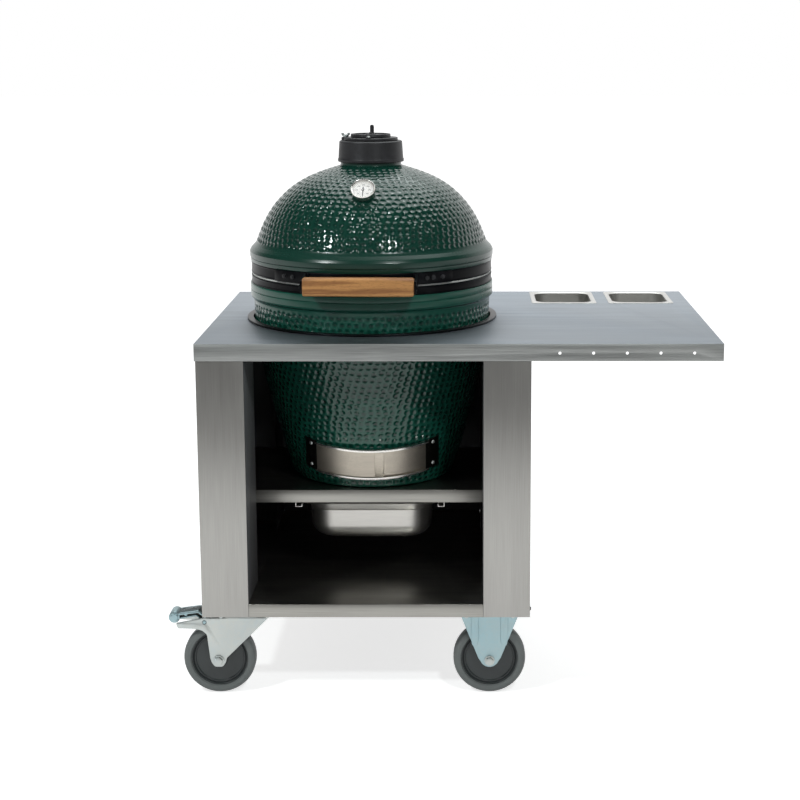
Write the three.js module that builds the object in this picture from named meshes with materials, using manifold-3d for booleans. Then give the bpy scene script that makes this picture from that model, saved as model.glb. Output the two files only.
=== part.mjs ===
// Kamado grill table: a folded stainless cabinet on castors that carries a ceramic kamado.
// Millimetres, +Z up, front towards -Y, origin on the floor under the middle of the whole table.

import * as THREE from 'three';
import { mergeVertices } from 'three/addons/utils/BufferGeometryUtils.js';
import Module from 'manifold-3d';

const wasm = await Module();
wasm.setup();

// Clearances and counts shared by all pieces
const seat = 0.3;
const cutOverrun = 5;
const kamadoSteps = 36;
const wheelSteps = 24;
const pinSteps = 12;
const cornerSteps = 3;
const hexSides = 6;
const wedgeStep = 15;
const rearAngle = 180;

// Worktop
const worktopFrontRoom = 93.2;
const worktopSheet = 2;
const worktopLip = 38;
const hookHoleRadius = 3.5;
const hookHolePitch = 73;
const hookHoleFromEnd = 63.5;
const hookHoleDrop = 20.5;
const hookHoleCount = 5;

// Cabinet
const cabinetSideRoom = 78.7;
const storageHeight = 185;
const bodyAboveWorktop = 48.3;
const cabinetSheet = 2;
const columnWidth = 104;
const columnDepth = 174;
const shelfLip = 30;
const basePlateWidth = 166;
const basePlateSheet = 3;

// Trim ring round the kamado hole
const trimRingWidth = 14.5;
const trimRingThickness = 5;
const trimRingGap = 2;
const trimRingReach = 3;

// Insert pans and drip pan
const insertLength = 162;
const insertDepth = 186;
const insertHeight = 100;
const insertFlange = 10;
const insertSpacing = 30;
const insertFromCabinet = 23.5;
const insertFromEnd = 39.2;
const insertFromBack = 16;
const insertCorner = 24;
const dripLength = 325;
const dripDepth = 265;
const dripHeight = 95;
const dripFlange = 15.5;
const dripCorner = 42;
const dripSetback = 20;
const dripDrop = 38;
const panSheet = 1.2;
const panFit = 1.5;
const railSheet = 2;
const railHook = 20;
const railUnder = 12;
const railUpstand = 8;
const railReach = 3;

// Castors
const castorHeadroom = 33;
const castorInset = 89.5;
const castorFromFront = 69.7;
const castorPlateLength = 135;
const castorPlateDepth = 110;
const castorPlateSheet = 4;
const castorTrail = 61;
const wheelRadius = 82.5;
const tyreThickness = 18.5;
const tyreWidth = 40;
const tyreTreadWidth = 24;
const tyreShoulderDrop = 4;
const hubWidth = 46;
const hubRadius = 18;
const webThickness = 12;
const rimThickness = 7;
const forkInside = 54;
const forkSheet = 4;
const forkTipRadius = 16.5;
const fixedTipHalfWidth = 25;
const fixedShoulderShare = 0.125;
const swivelRaceRadius = 34;
const swivelRaceHeight = 9;
const axleRadius = 6;
const axleFit = 0.4;
const boltHeadRadius = 11;
const boltHeadHeight = 7;
const pedalTipRadius = 14.5;
const pedalWidth = 44;
const pedalPinRadius = 4;
const pedalBarrelRadius = 8;
const pedalTopRise = 11;
const pedalSheet = 5;

// Kamado body, heights counted up from its foot
const eggRadius = 286.8;
const eggWall = 24;
const eggFloor = 25;
const eggBodyHeight = 423;
const lowerRimHeight = 40.5;
const rimSlope = 6;
const bandSeatInset = 5.3;
const lowerBandHeight = 19;
const upperBandHeight = 26;
const bandThickness = 2.2;
const gasketThickness = 4;
const gasketInset = 1.7;
const lidRimHeight = 25;
const lidRimBevel = 19;
const lidEdgeInset = 15;
const domeHeight = 175.5;
const neckRadius = 70.5;
const neckHeight = 26.5;
const chimneyRadius = 52;
const baseTurn = THREE.MathUtils.degToRad(2);
const lidTurn = THREE.MathUtils.degToRad(-2.2);

// Kamado outlines, as shares of the radius and height that each one follows
const bodyOutlineShares = [
  [0.6625, 0], [0.694, 0.054], [0.732, 0.142], [0.7706, 0.236], [0.8368, 0.392],
  [0.8926, 0.544], [0.9344, 0.686], [0.9606, 0.816], [0.971, 0.934], [0.9745, 1],
];
const domeOutlineShares = [
  [1, 0], [0.962, 0.15], [0.9, 0.35], [0.803, 0.553], [0.676, 0.732],
  [0.524, 0.868], [0.374, 0.953], [0.285, 1],
];
const bodyCurveSteps = 9;
const domeCurveSteps = 9;

// Fire box, fire ring, grate and cooking grid
const fireGap = 6;
const fireBoxHeight = 280;
const fireBoxWall = 20;
const grateLedge = 14;
const grateLevel = 95;
const grateThickness = 8;
const grateSlotWidth = 10;
const grateSlotPitch = 28;
const grateSlotLengthShare = 0.62;
const fireRingGap = 21.5;
const fireRingWall = 22;
const fireRingHeight = 110;
const gridInset = 6;
const gridRim = 8;
const gridThickness = 6;
const gridBar = 5;
const gridBarPitch = 32;

// Draft door and its frame, angles counted from the front of the kamado
const draftMiddle = 65;
const draftHeight = 78;
const draftExtraTilt = THREE.MathUtils.degToRad(1.0825);
const draftClearance = 0.17;
const draftSheet = 1.5;
const draftRail = 1.8;
const draftRailReach = 6.9;
const draftRailLip = 5;
const draftFrameHalfAngle = 45;
const draftRailHalfAngle = 36;
const draftWindowLowAngle = -33;
const draftWindowHighAngle = 2;
const draftWindowMargin = 9;
const draftDoorLowAngle = -35.5;
const draftDoorHighAngle = 7.2;
const draftTabLowAngle = 1.6;
const draftTabReach = 4;
const draftSlide = 0.9;

// Band hinge at the back
const hingePinFromEgg = 31.5;
const hingePinRadius = 5;
const hingePinOverhang = 6;
const hingeEarOffset = 88;
const hingeEarSheet = 4;
const hingeEarGap = 2;
const hingeEyeRadius = 10;
const hingeWingSheet = 4;
const hingeWingHalfAngle = 22;

// Handle
const handleLength = 245;
const handleHeight = 40;
const handleDepth = 27;
const handleRound = 5;
const handleReach = 51;
const handleDrop = 16;
const handleBracketSheet = 5;
const handleWingSheet = 4;
const handleWingOverlapAngle = 1.7;
const handleWingSpanAngle = 20;
const handleArmHeight = 27;

// Thermometer
const gaugeLevelShare = 0.64;
const gaugeTilt = THREE.MathUtils.degToRad(44);
const gaugeBossRadius = 23;
const gaugeBossHeight = 4;
const gaugeRadius = 27.8;
const gaugeDepth = 16;
const gaugeWall = 2.6;
const gaugeDialLevel = 8;
const gaugeLedgeLevel = 12;
const gaugeLedge = 1.4;
const gaugeGlass = 2;
const gaugeStemRadius = 4.5;
const gaugeStemLength = 85;
const needleLength = 19;
const needleWidth = 2.4;
const needleThickness = 0.9;
const needleHubRadius = 3;
const needlePinRadius = 1;

// Vent cap
const collarHeight = 49;
const collarLowRadius = 77.7;
const collarTopRadius = 73;
const collarFoot = 7;
const collarFit = 0.5;
const collarSeat = 16.5;
const ventPlateRadius = 64;
const ventPlateThickness = 7;
const ventLugRadius = 10;
const ventPivotRadius = 4;
const ventPivotOffset = 59;
const ventPivotDepth = 12;
const ventPivotHead = 7;
const ventPivotHeadHeight = 6;
const ventWheelRadius = 47;
const ventWheelThickness = 8;
const ventHoleRadius = 9;
const ventHoleCircle = 28;
const ventHoleCount = 6;
const ventStudRadius = 3.5;
const ventStudHeight = 12;
const ventTabWidth = 9.5;
const ventTabThickness = 5;
const ventTabHeight = 19;
const ventTabInset = 10;

// Colours
const stainless = new THREE.MeshStandardMaterial({ color: 0xa9a8a4, roughness: 0.35, metalness: 1 });
const darkSteel = new THREE.MeshStandardMaterial({ color: 0x8d8c88, roughness: 0.4, metalness: 1 });
const zinc = new THREE.MeshStandardMaterial({ color: 0xc4c8c6, roughness: 0.4, metalness: 1 });
const glaze = new THREE.MeshStandardMaterial({ color: 0x0f3d2b, roughness: 0.15, metalness: 0 });
const fireclay = new THREE.MeshStandardMaterial({ color: 0xb9a78c, roughness: 0.9, metalness: 0 });
const felt = new THREE.MeshStandardMaterial({ color: 0x8a8782, roughness: 1, metalness: 0 });
const blackPaint = new THREE.MeshStandardMaterial({ color: 0x141518, roughness: 0.4, metalness: 0.2 });
const castIron = new THREE.MeshStandardMaterial({ color: 0x202124, roughness: 0.6, metalness: 0.6 });
const acacia = new THREE.MeshStandardMaterial({ color: 0xb5783c, roughness: 0.5, metalness: 0 });
const greyRubber = new THREE.MeshStandardMaterial({ color: 0x6f7472, roughness: 0.8, metalness: 0 });
const greyPlastic = new THREE.MeshStandardMaterial({ color: 0x2c3033, roughness: 0.5, metalness: 0 });
const glass = new THREE.MeshStandardMaterial({ color: 0xe8eef0, roughness: 0.05, metalness: 0 });

// Places worked out from the sizes above
const castorHeight = 2 * wheelRadius + castorHeadroom;
const tyreInnerRadius = wheelRadius - tyreThickness;
const lidEdgeRadius = eggRadius - lidEdgeInset;
const floorToBase = castorHeight;
const eggShelfTop = floorToBase + shelfLip + storageHeight + shelfLip;
const eggFoot = eggShelfTop + seat;
const worktopTop = eggFoot + eggBodyHeight - bodyAboveWorktop;
const worktopUnderside = worktopTop - worktopSheet;
const cabinetWidth = 2 * (eggRadius + cabinetSideRoom);
const worktopDepth = 2 * (eggRadius + worktopFrontRoom);
const insertPitch = insertLength + insertSpacing;
const overhang = insertFromCabinet + insertPitch + insertLength + insertFromEnd;
const worktopLength = worktopSheet + seat + cabinetWidth + overhang;
const cabinetLeft = -worktopLength / 2 + worktopSheet + seat;
const cabinetRight = cabinetLeft + cabinetWidth;
const cabinetFront = -worktopDepth / 2 + worktopSheet + seat;
const cabinetBack = -cabinetFront;
const cabinetMiddle = (cabinetLeft + cabinetRight) / 2;
const columnBack = cabinetFront + columnDepth;
const axleDrop = castorHeight - wheelRadius * Math.cos(Math.PI / wheelSteps);
const plateLow = -seat - castorPlateSheet;
const pedalPivotShares = [-0.26, 0.78];
const pedalTipShares = [-0.875, 0.8];
const pedalPivot = [pedalPivotShares[0] * axleDrop - castorTrail, (pedalPivotShares[1] - 1) * axleDrop];
const pedalTip = [pedalTipShares[0] * axleDrop - castorTrail, (pedalTipShares[1] - 1) * axleDrop];
const tableLeft = cabinetLeft + castorInset + pedalTip[0] - pedalTipRadius;
const tableMiddle = (tableLeft + worktopLength / 2) / 2;

/** Turns a closed geometry into a solid that can be joined and cut. */
function solid(geometry) {
  const bare = geometry.clone();
  bare.deleteAttribute('normal');
  bare.deleteAttribute('uv');
  const merged = mergeVertices(bare);
  const corners = Array.from(merged.index.array);
  const kept = [];
  for (let i = 0; i < corners.length; i += 3) {
    const [a, b, c] = corners.slice(i, i + 3);
    if (a !== b && b !== c && c !== a) kept.push(a, b, c);
  }
  const vertProperties = Float32Array.from(merged.attributes.position.array);
  const made = new wasm.Mesh({ numProp: 3, vertProperties, triVerts: Uint32Array.from(kept) });
  return new wasm.Manifold(made);
}

/** Turns a solid back into a geometry. */
function shaped(body) {
  const mesh = body.getMesh();
  const geometry = new THREE.BufferGeometry();
  geometry.setAttribute('position', new THREE.BufferAttribute(Float32Array.from(mesh.vertProperties), 3));
  geometry.setIndex(Array.from(mesh.triVerts));
  geometry.computeVertexNormals();
  return geometry;
}

/** A block between two corners. */
function slab([x0, y0, z0], [x1, y1, z1]) {
  const block = new THREE.BoxGeometry(x1 - x0, y1 - y0, z1 - z0);
  return block.translate((x0 + x1) / 2, (y0 + y1) / 2, (z0 + z1) / 2);
}

/** An upright cylinder that starts at height low. */
function post(radius, low, high, steps = pinSteps) {
  const round = new THREE.CylinderGeometry(radius, radius, high - low, steps);
  return round.rotateX(Math.PI / 2).translate(0, 0, (low + high) / 2);
}

/** A cylinder along Y, centred on y = 0. */
function spindle(radius, length, steps = pinSteps) {
  return new THREE.CylinderGeometry(radius, radius, length, steps);
}

/** A body of revolution about Z from [radius, height] points. */
function turnedBody(points, steps = kamadoSteps) {
  const outline = points.map(([radius, height]) => new THREE.Vector2(radius, height));
  return new THREE.LatheGeometry(outline, steps).rotateX(Math.PI / 2);
}

/** A ring of revolution whose outline closes on itself. */
function ring(points, steps = kamadoSteps) {
  return turnedBody([...points, points[0]], steps);
}

/** A flat outline from a list of points. */
function outlineOf(points) {
  return new THREE.Shape(points.map(([x, y]) => new THREE.Vector2(x, y)));
}

/** A plan outline in X and Y, raised from low to high. */
function raised(outline, low, high) {
  const depth = high - low;
  const body = new THREE.ExtrudeGeometry(outline, { depth, bevelEnabled: false, curveSegments: cornerSteps });
  return body.translate(0, 0, low);
}

/** A front outline in X and Z, running from y = front to y = back. */
function acrossDepth(outline, front, back) {
  const depth = back - front;
  const body = new THREE.ExtrudeGeometry(outline, { depth, bevelEnabled: false, curveSegments: cornerSteps });
  return body.rotateX(Math.PI / 2).translate(0, back, 0);
}

/** A side outline in Y and Z, running from x = left to x = right. */
function acrossWidth(outline, left, right) {
  const depth = right - left;
  const body = new THREE.ExtrudeGeometry(outline, { depth, bevelEnabled: false, curveSegments: cornerSteps });
  const axes = [new THREE.Vector3(0, 1, 0), new THREE.Vector3(0, 0, 1), new THREE.Vector3(1, 0, 0)];
  return body.applyMatrix4(new THREE.Matrix4().makeBasis(...axes)).translate(left, 0, 0);
}

/** A rectangle with round corners, centred on the origin. */
function roundRectangle(length, depth, corner) {
  const [x, y] = [length / 2, depth / 2];
  const outline = new THREE.Shape();
  outline.moveTo(x - corner, -y);
  outline.absarc(x - corner, -y + corner, corner, -Math.PI / 2, 0, false);
  outline.absarc(x - corner, y - corner, corner, 0, Math.PI / 2, false);
  outline.absarc(-x + corner, y - corner, corner, Math.PI / 2, Math.PI, false);
  outline.absarc(-x + corner, -y + corner, corner, Math.PI, 1.5 * Math.PI, false);
  return outline;
}

/** A wedge about the kamado's axis between two angles in degrees, counted from the front to the right. */
function wedge(from, to, reach, low, high) {
  const parts = Math.ceil((to - from) / wedgeStep);
  const points = [[0, 0]];
  for (let i = 0; i <= parts; i += 1) {
    const angle = THREE.MathUtils.degToRad(from + (to - from) * i / parts);
    points.push([reach * Math.sin(angle), -reach * Math.cos(angle)]);
  }
  return raised(outlineOf(points), low, high);
}

/** The smallest faceted radius whose flats clear a round body of the given radius. */
function around(radius, steps = kamadoSteps) {
  return (radius + seat) / Math.cos(Math.PI / steps);
}

/** Adds a piece to its group as a named mesh. */
function place(group, name, geometry, material) {
  const mesh = new THREE.Mesh(geometry, material);
  mesh.name = name;
  group.add(mesh);
  return mesh;
}

/** Points on a smooth curve through shares of a radius and a height. */
function curvePoints(shares, radius, height, steps) {
  const knots = shares.map(([r, h]) => new THREE.Vector2(r * radius, h * height));
  return new THREE.SplineCurve(knots).getPoints(steps).map((point) => [point.x, point.y]);
}

// Outer curve of the kamado body, foot to rim
const bodyCurve = curvePoints(bodyOutlineShares, eggRadius, eggBodyHeight, bodyCurveSteps);
const bodyTopRadius = bodyCurve[bodyCurve.length - 1][0];
const bandSeatRadius = eggRadius - bandSeatInset;

/** Outer radius of the kamado body at a height above its foot. */
function bodyRadius(height) {
  const above = bodyCurve.findIndex(([, level]) => level >= height);
  const upper = above < 0 ? bodyCurve.length - 1 : Math.max(above, 1);
  const [[r0, h0], [r1, h1]] = [bodyCurve[upper - 1], bodyCurve[upper]];
  return r0 + (r1 - r0) * Math.min((height - h0) / (h1 - h0), 1);
}

const draftRise = bodyRadius(draftMiddle + draftHeight / 2) - bodyRadius(draftMiddle - draftHeight / 2);
const draftTilt = Math.atan2(draftRise, draftHeight) + draftExtraTilt;
const draftTurnShare = 1 - Math.cos(THREE.MathUtils.degToRad(draftFrameHalfAngle));
const draftGap = bodyRadius(draftMiddle) * draftTurnShare * Math.sin(draftTilt) * Math.tan(draftTilt);
const draftRadius = bodyRadius(draftMiddle) + draftGap + draftClearance;

// Worktop with the kamado hole, the two pan cut-outs and the hook holes
const trimRingInner = bodyTopRadius + trimRingGap;
const kamadoHoleRadius = trimRingInner + trimRingReach;
const lastInsert = worktopLength / 2 - insertFromEnd - insertLength / 2;
const insertCentres = [1, 0].map((turn) => lastInsert - turn * insertPitch);
const insertCentreY = worktopDepth / 2 - insertFromBack - insertDepth / 2;
const insertBody = [insertLength - 2 * insertFlange, insertDepth - 2 * insertFlange];

function makeWorktop() {
  const [x, y] = [worktopLength / 2, worktopDepth / 2];
  const low = worktopTop - worktopLip;
  const inside = slab(
    [-x + worktopSheet, -y + worktopSheet, low - cutOverrun],
    [x - worktopSheet, y - worktopSheet, worktopUnderside],
  );
  const hole = post(kamadoHoleRadius, low, worktopTop + cutOverrun, kamadoSteps);
  let body = solid(slab([-x, -y, low], [x, y, worktopTop])).subtract(solid(inside));
  body = body.subtract(solid(hole.translate(cabinetMiddle, 0, 0)));
  for (const centre of insertCentres) {
    const outline = roundRectangle(insertBody[0] + 2 * panFit, insertBody[1] + 2 * panFit, insertCorner);
    const cut = raised(outline, low, worktopTop + cutOverrun).translate(centre, insertCentreY, 0);
    body = body.subtract(solid(cut));
  }
  for (let i = 0; i < hookHoleCount; i += 1) {
    const drill = spindle(hookHoleRadius, 2 * cutOverrun + worktopSheet);
    drill.translate(x - hookHoleFromEnd - i * hookHolePitch, -y, worktopTop - hookHoleDrop);
    body = body.subtract(solid(drill));
  }
  return shaped(body);
}

/** One side shell: outer wall, front and rear column faces and their inner returns. */
function makeSideShell(side) {
  const outer = side < 0 ? cabinetLeft : cabinetRight;
  const inward = (distance) => outer - side * distance;
  const [front, back, sheet] = [cabinetFront, cabinetBack, cabinetSheet];
  const plan = outlineOf([
    [inward(0), front], [inward(columnWidth), front], [inward(columnWidth), columnBack],
    [inward(columnWidth - sheet), columnBack], [inward(columnWidth - sheet), front + sheet],
    [inward(sheet), front + sheet], [inward(sheet), back - sheet],
    [inward(columnWidth - sheet), back - sheet], [inward(columnWidth - sheet), -columnBack],
    [inward(columnWidth), -columnBack], [inward(columnWidth), back], [inward(0), back],
  ]);
  const shell = solid(raised(plan, floorToBase, worktopUnderside - seat));
  const [near, far] = [inward(columnWidth - cabinetSheet - cutOverrun), inward(columnWidth + cutOverrun)];
  const slot = slab(
    [Math.min(near, far), front + sheet, floorToBase - cutOverrun],
    [Math.max(near, far), back - sheet, floorToBase + basePlateSheet + seat],
  );
  return shaped(shell.subtract(solid(slot)));
}

/** A base plate under one side of the cabinet, which the castors bolt to. */
function makeBasePlate(side) {
  const wall = side < 0 ? cabinetLeft + cabinetSheet + seat : cabinetRight - cabinetSheet - seat;
  const inner = wall - side * basePlateWidth;
  const edge = cabinetFront + cabinetSheet + seat;
  return slab(
    [Math.min(wall, inner), edge, floorToBase],
    [Math.max(wall, inner), -edge, floorToBase + basePlateSheet],
  );
}

// Lower shelf: wide behind the columns, narrow between them, with a lip at the front and the back
function makeBottomShelf() {
  const [x0, x1] = [cabinetLeft + columnWidth + seat, cabinetRight - columnWidth - seat];
  const [w0, w1] = [cabinetLeft + cabinetSheet + seat, cabinetRight - cabinetSheet - seat];
  const [y0, y1] = [cabinetFront, columnBack + seat];
  const plan = outlineOf([
    [x0, y0], [x1, y0], [x1, y1], [w1, y1], [w1, -y1], [x1, -y1],
    [x1, -y0], [x0, -y0], [x0, -y1], [w0, -y1], [w0, y1], [x0, y1],
  ]);
  const top = floorToBase + shelfLip;
  const under = slab(
    [w0 - cutOverrun, y0 + cabinetSheet, floorToBase - cutOverrun],
    [w1 + cutOverrun, -y0 - cabinetSheet, top - cabinetSheet],
  );
  return shaped(solid(raised(plan, floorToBase, top)).subtract(solid(under)));
}

// Upper shelf behind the columns, a tray turned upside down
function makeEggShelf() {
  const low = [cabinetLeft + cabinetSheet + seat, columnBack + seat, eggShelfTop - shelfLip];
  const high = [cabinetRight - cabinetSheet - seat, -columnBack - seat, eggShelfTop];
  const under = slab(
    [low[0] + cabinetSheet, low[1] + cabinetSheet, low[2] - cutOverrun],
    [high[0] - cabinetSheet, high[1] - cabinetSheet, high[2] - cabinetSheet],
  );
  return shaped(solid(slab(low, high)).subtract(solid(under)));
}

function makeBackPanel() {
  return slab(
    [cabinetLeft + columnWidth + seat, cabinetBack - cabinetSheet, floorToBase + shelfLip + seat],
    [cabinetRight - columnWidth - seat, cabinetBack, worktopUnderside - seat],
  );
}

function makeTrimRing() {
  const [inner, outer] = [trimRingInner, trimRingInner + trimRingWidth];
  const [low, high] = [worktopTop + seat, worktopTop + seat + trimRingThickness];
  return ring([[inner, low], [outer, low], [outer, high], [inner, high]]).translate(cabinetMiddle, 0, 0);
}

/** An open pan with a flat flange, its flange resting on level. */
function makePan(length, depth, height, flange, corner, level) {
  const plate = raised(roundRectangle(length, depth, corner), level, level + panSheet);
  const [bodyLength, bodyDepth] = [length - 2 * flange, depth - 2 * flange];
  const floor = level + panSheet - height;
  const outside = raised(roundRectangle(bodyLength, bodyDepth, corner), floor, level + panSheet);
  const inset = roundRectangle(bodyLength - 2 * panSheet, bodyDepth - 2 * panSheet, corner - panSheet);
  const inside = raised(inset, floor + panSheet, level + panSheet + cutOverrun);
  return shaped(solid(plate).add(solid(outside)).subtract(solid(inside)));
}

// Drip pan under the upper shelf, and the two hooked rails that its flange slides on
const dripFront = columnBack + seat + dripSetback;
const dripLevel = eggShelfTop - dripDrop;

function makeDripPan() {
  const pan = makePan(dripLength, dripDepth, dripHeight, dripFlange, dripCorner, dripLevel);
  return pan.translate(cabinetMiddle, dripFront + dripDepth / 2, 0);
}

/** One hooked rail, hung from the upper shelf beside the pan. */
function makePanRail(side) {
  const lip = dripLength / 2 - railReach - railSheet;
  const outer = lip + railUnder + 2 * railSheet;
  const [top, upstand] = [eggShelfTop - cabinetSheet - seat, dripLevel - seat];
  const low = upstand - railUpstand;
  const outline = outlineOf([
    [lip, upstand], [lip, low], [outer, low], [outer, top], [outer - railHook, top],
    [outer - railHook, top - railSheet], [outer - railSheet, top - railSheet],
    [outer - railSheet, low + railSheet], [lip + railSheet, low + railSheet], [lip + railSheet, upstand],
  ].map(([x, z]) => [side * x, z]));
  return acrossDepth(outline, dripFront, dripFront + dripDepth).translate(cabinetMiddle, 0, 0);
}

// Castors, in a frame whose origin is on the swivel axis at the underside of the base plate
const swivelForkShares = [
  [-0.82, 0.76], [-0.78, 0.662], [-0.46, 0.645], [-0.31, 0.61], [-0.22, 0.53], [-0.165, 0],
];
const swivelForkBackShares = [[0.143, 0], [0.972, 0.86], [0.955, 0.882], [-0.3, 0.862]];

/** A round tip below the axle, from one side to the other. */
function tipPoints(halfWidth) {
  const points = [];
  for (let i = 0; i <= cornerSteps; i += 1) {
    const angle = Math.PI * (1 + i / cornerSteps);
    points.push([halfWidth * Math.cos(angle), forkTipRadius * Math.sin(angle)]);
  }
  return points;
}

/** Two fork cheeks from one front outline, bored for the axle, on each side of the wheel. */
function forkCheeks(outline, axleX) {
  const bore = spindle(axleRadius + axleFit, forkInside + 4 * forkSheet).translate(axleX, 0, -axleDrop);
  const cheeks = [-1, 1].map((side) => {
    const inner = side * forkInside / 2;
    const outer = side * (forkInside / 2 + forkSheet);
    return solid(acrossDepth(outline, Math.min(inner, outer), Math.max(inner, outer))).subtract(solid(bore));
  });
  return cheeks;
}

function makeFixedFork() {
  const top = castorPlateLength / 2;
  const shoulder = plateLow - (axleDrop + plateLow) * fixedShoulderShare;
  const points = [
    [-top, plateLow], [-top, shoulder], ...tipPoints(fixedTipHalfWidth).map(([x, z]) => [x, z - axleDrop]),
    [top, shoulder], [top, plateLow],
  ];
  const cheeks = forkCheeks(outlineOf(points), 0);
  const half = [castorPlateLength / 2, castorPlateDepth / 2];
  const plate = slab([-half[0], -half[1], plateLow - forkSheet / 2], [half[0], half[1], -seat]);
  return shaped(solid(plate).add(cheeks[0]).add(cheeks[1]));
}

/** The bolted head plate of a swivel castor with its ball race. */
function makeSwivelPlate() {
  const half = [castorPlateLength / 2, castorPlateDepth / 2];
  const plate = slab([-half[0], -half[1], plateLow], [half[0], half[1], -seat]);
  const [raceLow, raceHigh] = [plateLow - swivelRaceHeight, plateLow + castorPlateSheet / 2];
  const race = post(swivelRaceRadius, raceLow, raceHigh, 2 * pinSteps);
  return shaped(solid(plate).add(solid(race)));
}

function makeSwivelFork() {
  const axle = ([x, z]) => [x - castorTrail, z - axleDrop];
  const share = ([x, z]) => axle([x * axleDrop, z * axleDrop]);
  const points = [
    ...swivelForkShares.map(share), ...tipPoints(forkTipRadius).slice(1, -1).map(axle),
    ...swivelForkBackShares.map(share),
  ];
  let [body, far] = forkCheeks(outlineOf(points), -castorTrail);
  const outer = forkInside / 2 + forkSheet;
  const webTop = plateLow - swivelRaceHeight - seat;
  const web = slab(
    [-castorTrail + pedalBarrelRadius, -outer, webTop - forkSheet],
    [swivelRaceRadius + forkSheet, outer, webTop],
  );
  body = body.add(far).add(solid(web));
  const hole = spindle(pedalPinRadius + axleFit, 2 * outer + cutOverrun);
  hole.translate(pedalPivot[0], 0, pedalPivot[1]);
  return shaped(body.subtract(solid(hole)));
}

// Brake pedal between the cheeks, with its tip just outside the wheel
function makeBrakePedal() {
  const half = pedalWidth / 2;
  const lever = outlineOf([
    [pedalTip[0], pedalTip[1] + pedalTipRadius - pedalSheet], [pedalPivot[0], pedalPivot[1]],
    [pedalPivot[0] + pedalBarrelRadius, pedalPivot[1] + pedalSheet],
    [pedalPivot[0] - pedalBarrelRadius, pedalPivot[1] + pedalTopRise + pedalSheet],
    [pedalTip[0], pedalTip[1] + pedalTipRadius],
  ]);
  const tip = spindle(pedalTipRadius, pedalWidth).translate(pedalTip[0], 0, pedalTip[1]);
  const barrel = spindle(pedalBarrelRadius, pedalWidth).translate(pedalPivot[0], 0, pedalPivot[1]);
  const pin = spindle(pedalPinRadius, forkInside + 2 * forkSheet).translate(pedalPivot[0], 0, pedalPivot[1]);
  return shaped(solid(acrossDepth(lever, -half, half)).add(solid(tip)).add(solid(barrel)).add(solid(pin)));
}

function makeAxleBolt() {
  const reach = forkInside + 2 * forkSheet + 2 * seat;
  const shank = solid(spindle(axleRadius, reach + boltHeadHeight));
  const heads = [-1, 1].map((side) => {
    const middle = side * (reach + boltHeadHeight) / 2;
    return solid(spindle(boltHeadRadius, boltHeadHeight, hexSides).translate(0, middle, 0));
  });
  return shaped(shank.add(heads[0]).add(heads[1]));
}

/** A wheel core about Y: hub, web and rim. */
function makeWheelCore() {
  const bore = axleRadius + axleFit;
  const rim = tyreInnerRadius - seat;
  const points = [
    [bore, -hubWidth / 2], [hubRadius, -hubWidth / 2], [rim - rimThickness, -webThickness / 2],
    [rim - rimThickness, -tyreWidth / 2], [rim, -tyreWidth / 2], [rim, tyreWidth / 2],
    [rim - rimThickness, tyreWidth / 2], [rim - rimThickness, webThickness / 2],
    [hubRadius, hubWidth / 2], [bore, hubWidth / 2],
  ];
  return wheelBody(points);
}

function makeTyre() {
  const [tread, side] = [tyreTreadWidth / 2, tyreWidth / 2];
  const shoulder = wheelRadius - tyreShoulderDrop;
  return wheelBody([
    [tyreInnerRadius, -side], [shoulder, -side], [wheelRadius, -tread],
    [wheelRadius, tread], [shoulder, side], [tyreInnerRadius, side],
  ]);
}

/** A ring of revolution about Y that stands on one of its flats. */
function wheelBody(points) {
  const outline = [...points, points[0]].map(([radius, across]) => new THREE.Vector2(radius, across));
  return new THREE.LatheGeometry(outline, wheelSteps).rotateY(Math.PI / wheelSteps);
}

/** Adds the four castors to the table. */
function addCastors(table) {
  const rowY = cabinetBack - castorFromFront;
  const fixedX = cabinetRight - castorInset;
  const swivelX = cabinetLeft + castorInset;
  for (const [row, y] of [['front', -rowY], ['rear', rowY]]) {
    const fixed = new THREE.Group();
    fixed.position.set(fixedX, y, floorToBase);
    place(fixed, `fixed_fork_${row}`, makeFixedFork(), zinc);
    const swivel = new THREE.Group();
    swivel.position.set(swivelX, y, floorToBase);
    place(swivel, `swivel_plate_${row}`, makeSwivelPlate(), zinc);
    place(swivel, `swivel_fork_${row}`, makeSwivelFork(), zinc);
    place(swivel, `brake_pedal_${row}`, makeBrakePedal(), zinc);
    for (const [kind, group, axleX] of [['fixed', fixed, 0], ['swivel', swivel, -castorTrail]]) {
      for (const [piece, geometry, material] of [
        ['axle_bolt', makeAxleBolt(), zinc], ['wheel_core', makeWheelCore(), greyPlastic],
        ['tyre', makeTyre(), greyRubber],
      ]) {
        place(group, `${piece}_${kind}_${row}`, geometry.translate(axleX, 0, -axleDrop), material);
      }
    }
    table.add(fixed, swivel);
  }
}

// Kamado base, with the draft opening through its wall
const bodyTop = eggBodyHeight;
const lowerRimTop = bodyTop + lowerRimHeight;
const baseTop = lowerRimTop + lowerBandHeight;
const rimInner = bandSeatRadius - eggWall;

/** Puts a geometry made round the origin onto the front of the kamado, leaning with its taper. */
function onDraft(geometry) {
  const [back, up] = [draftRadius * Math.cos(draftTilt), draftRadius * Math.sin(draftTilt)];
  return geometry.rotateX(draftTilt).translate(0, back - draftRadius, draftMiddle + up);
}

/** The way for air through the kamado wall behind the draft door. */
function draftWay() {
  const high = draftHeight / 2 - draftWindowMargin;
  return wedge(draftWindowLowAngle, draftWindowHighAngle, eggRadius + cutOverrun, -high, high);
}

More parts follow.
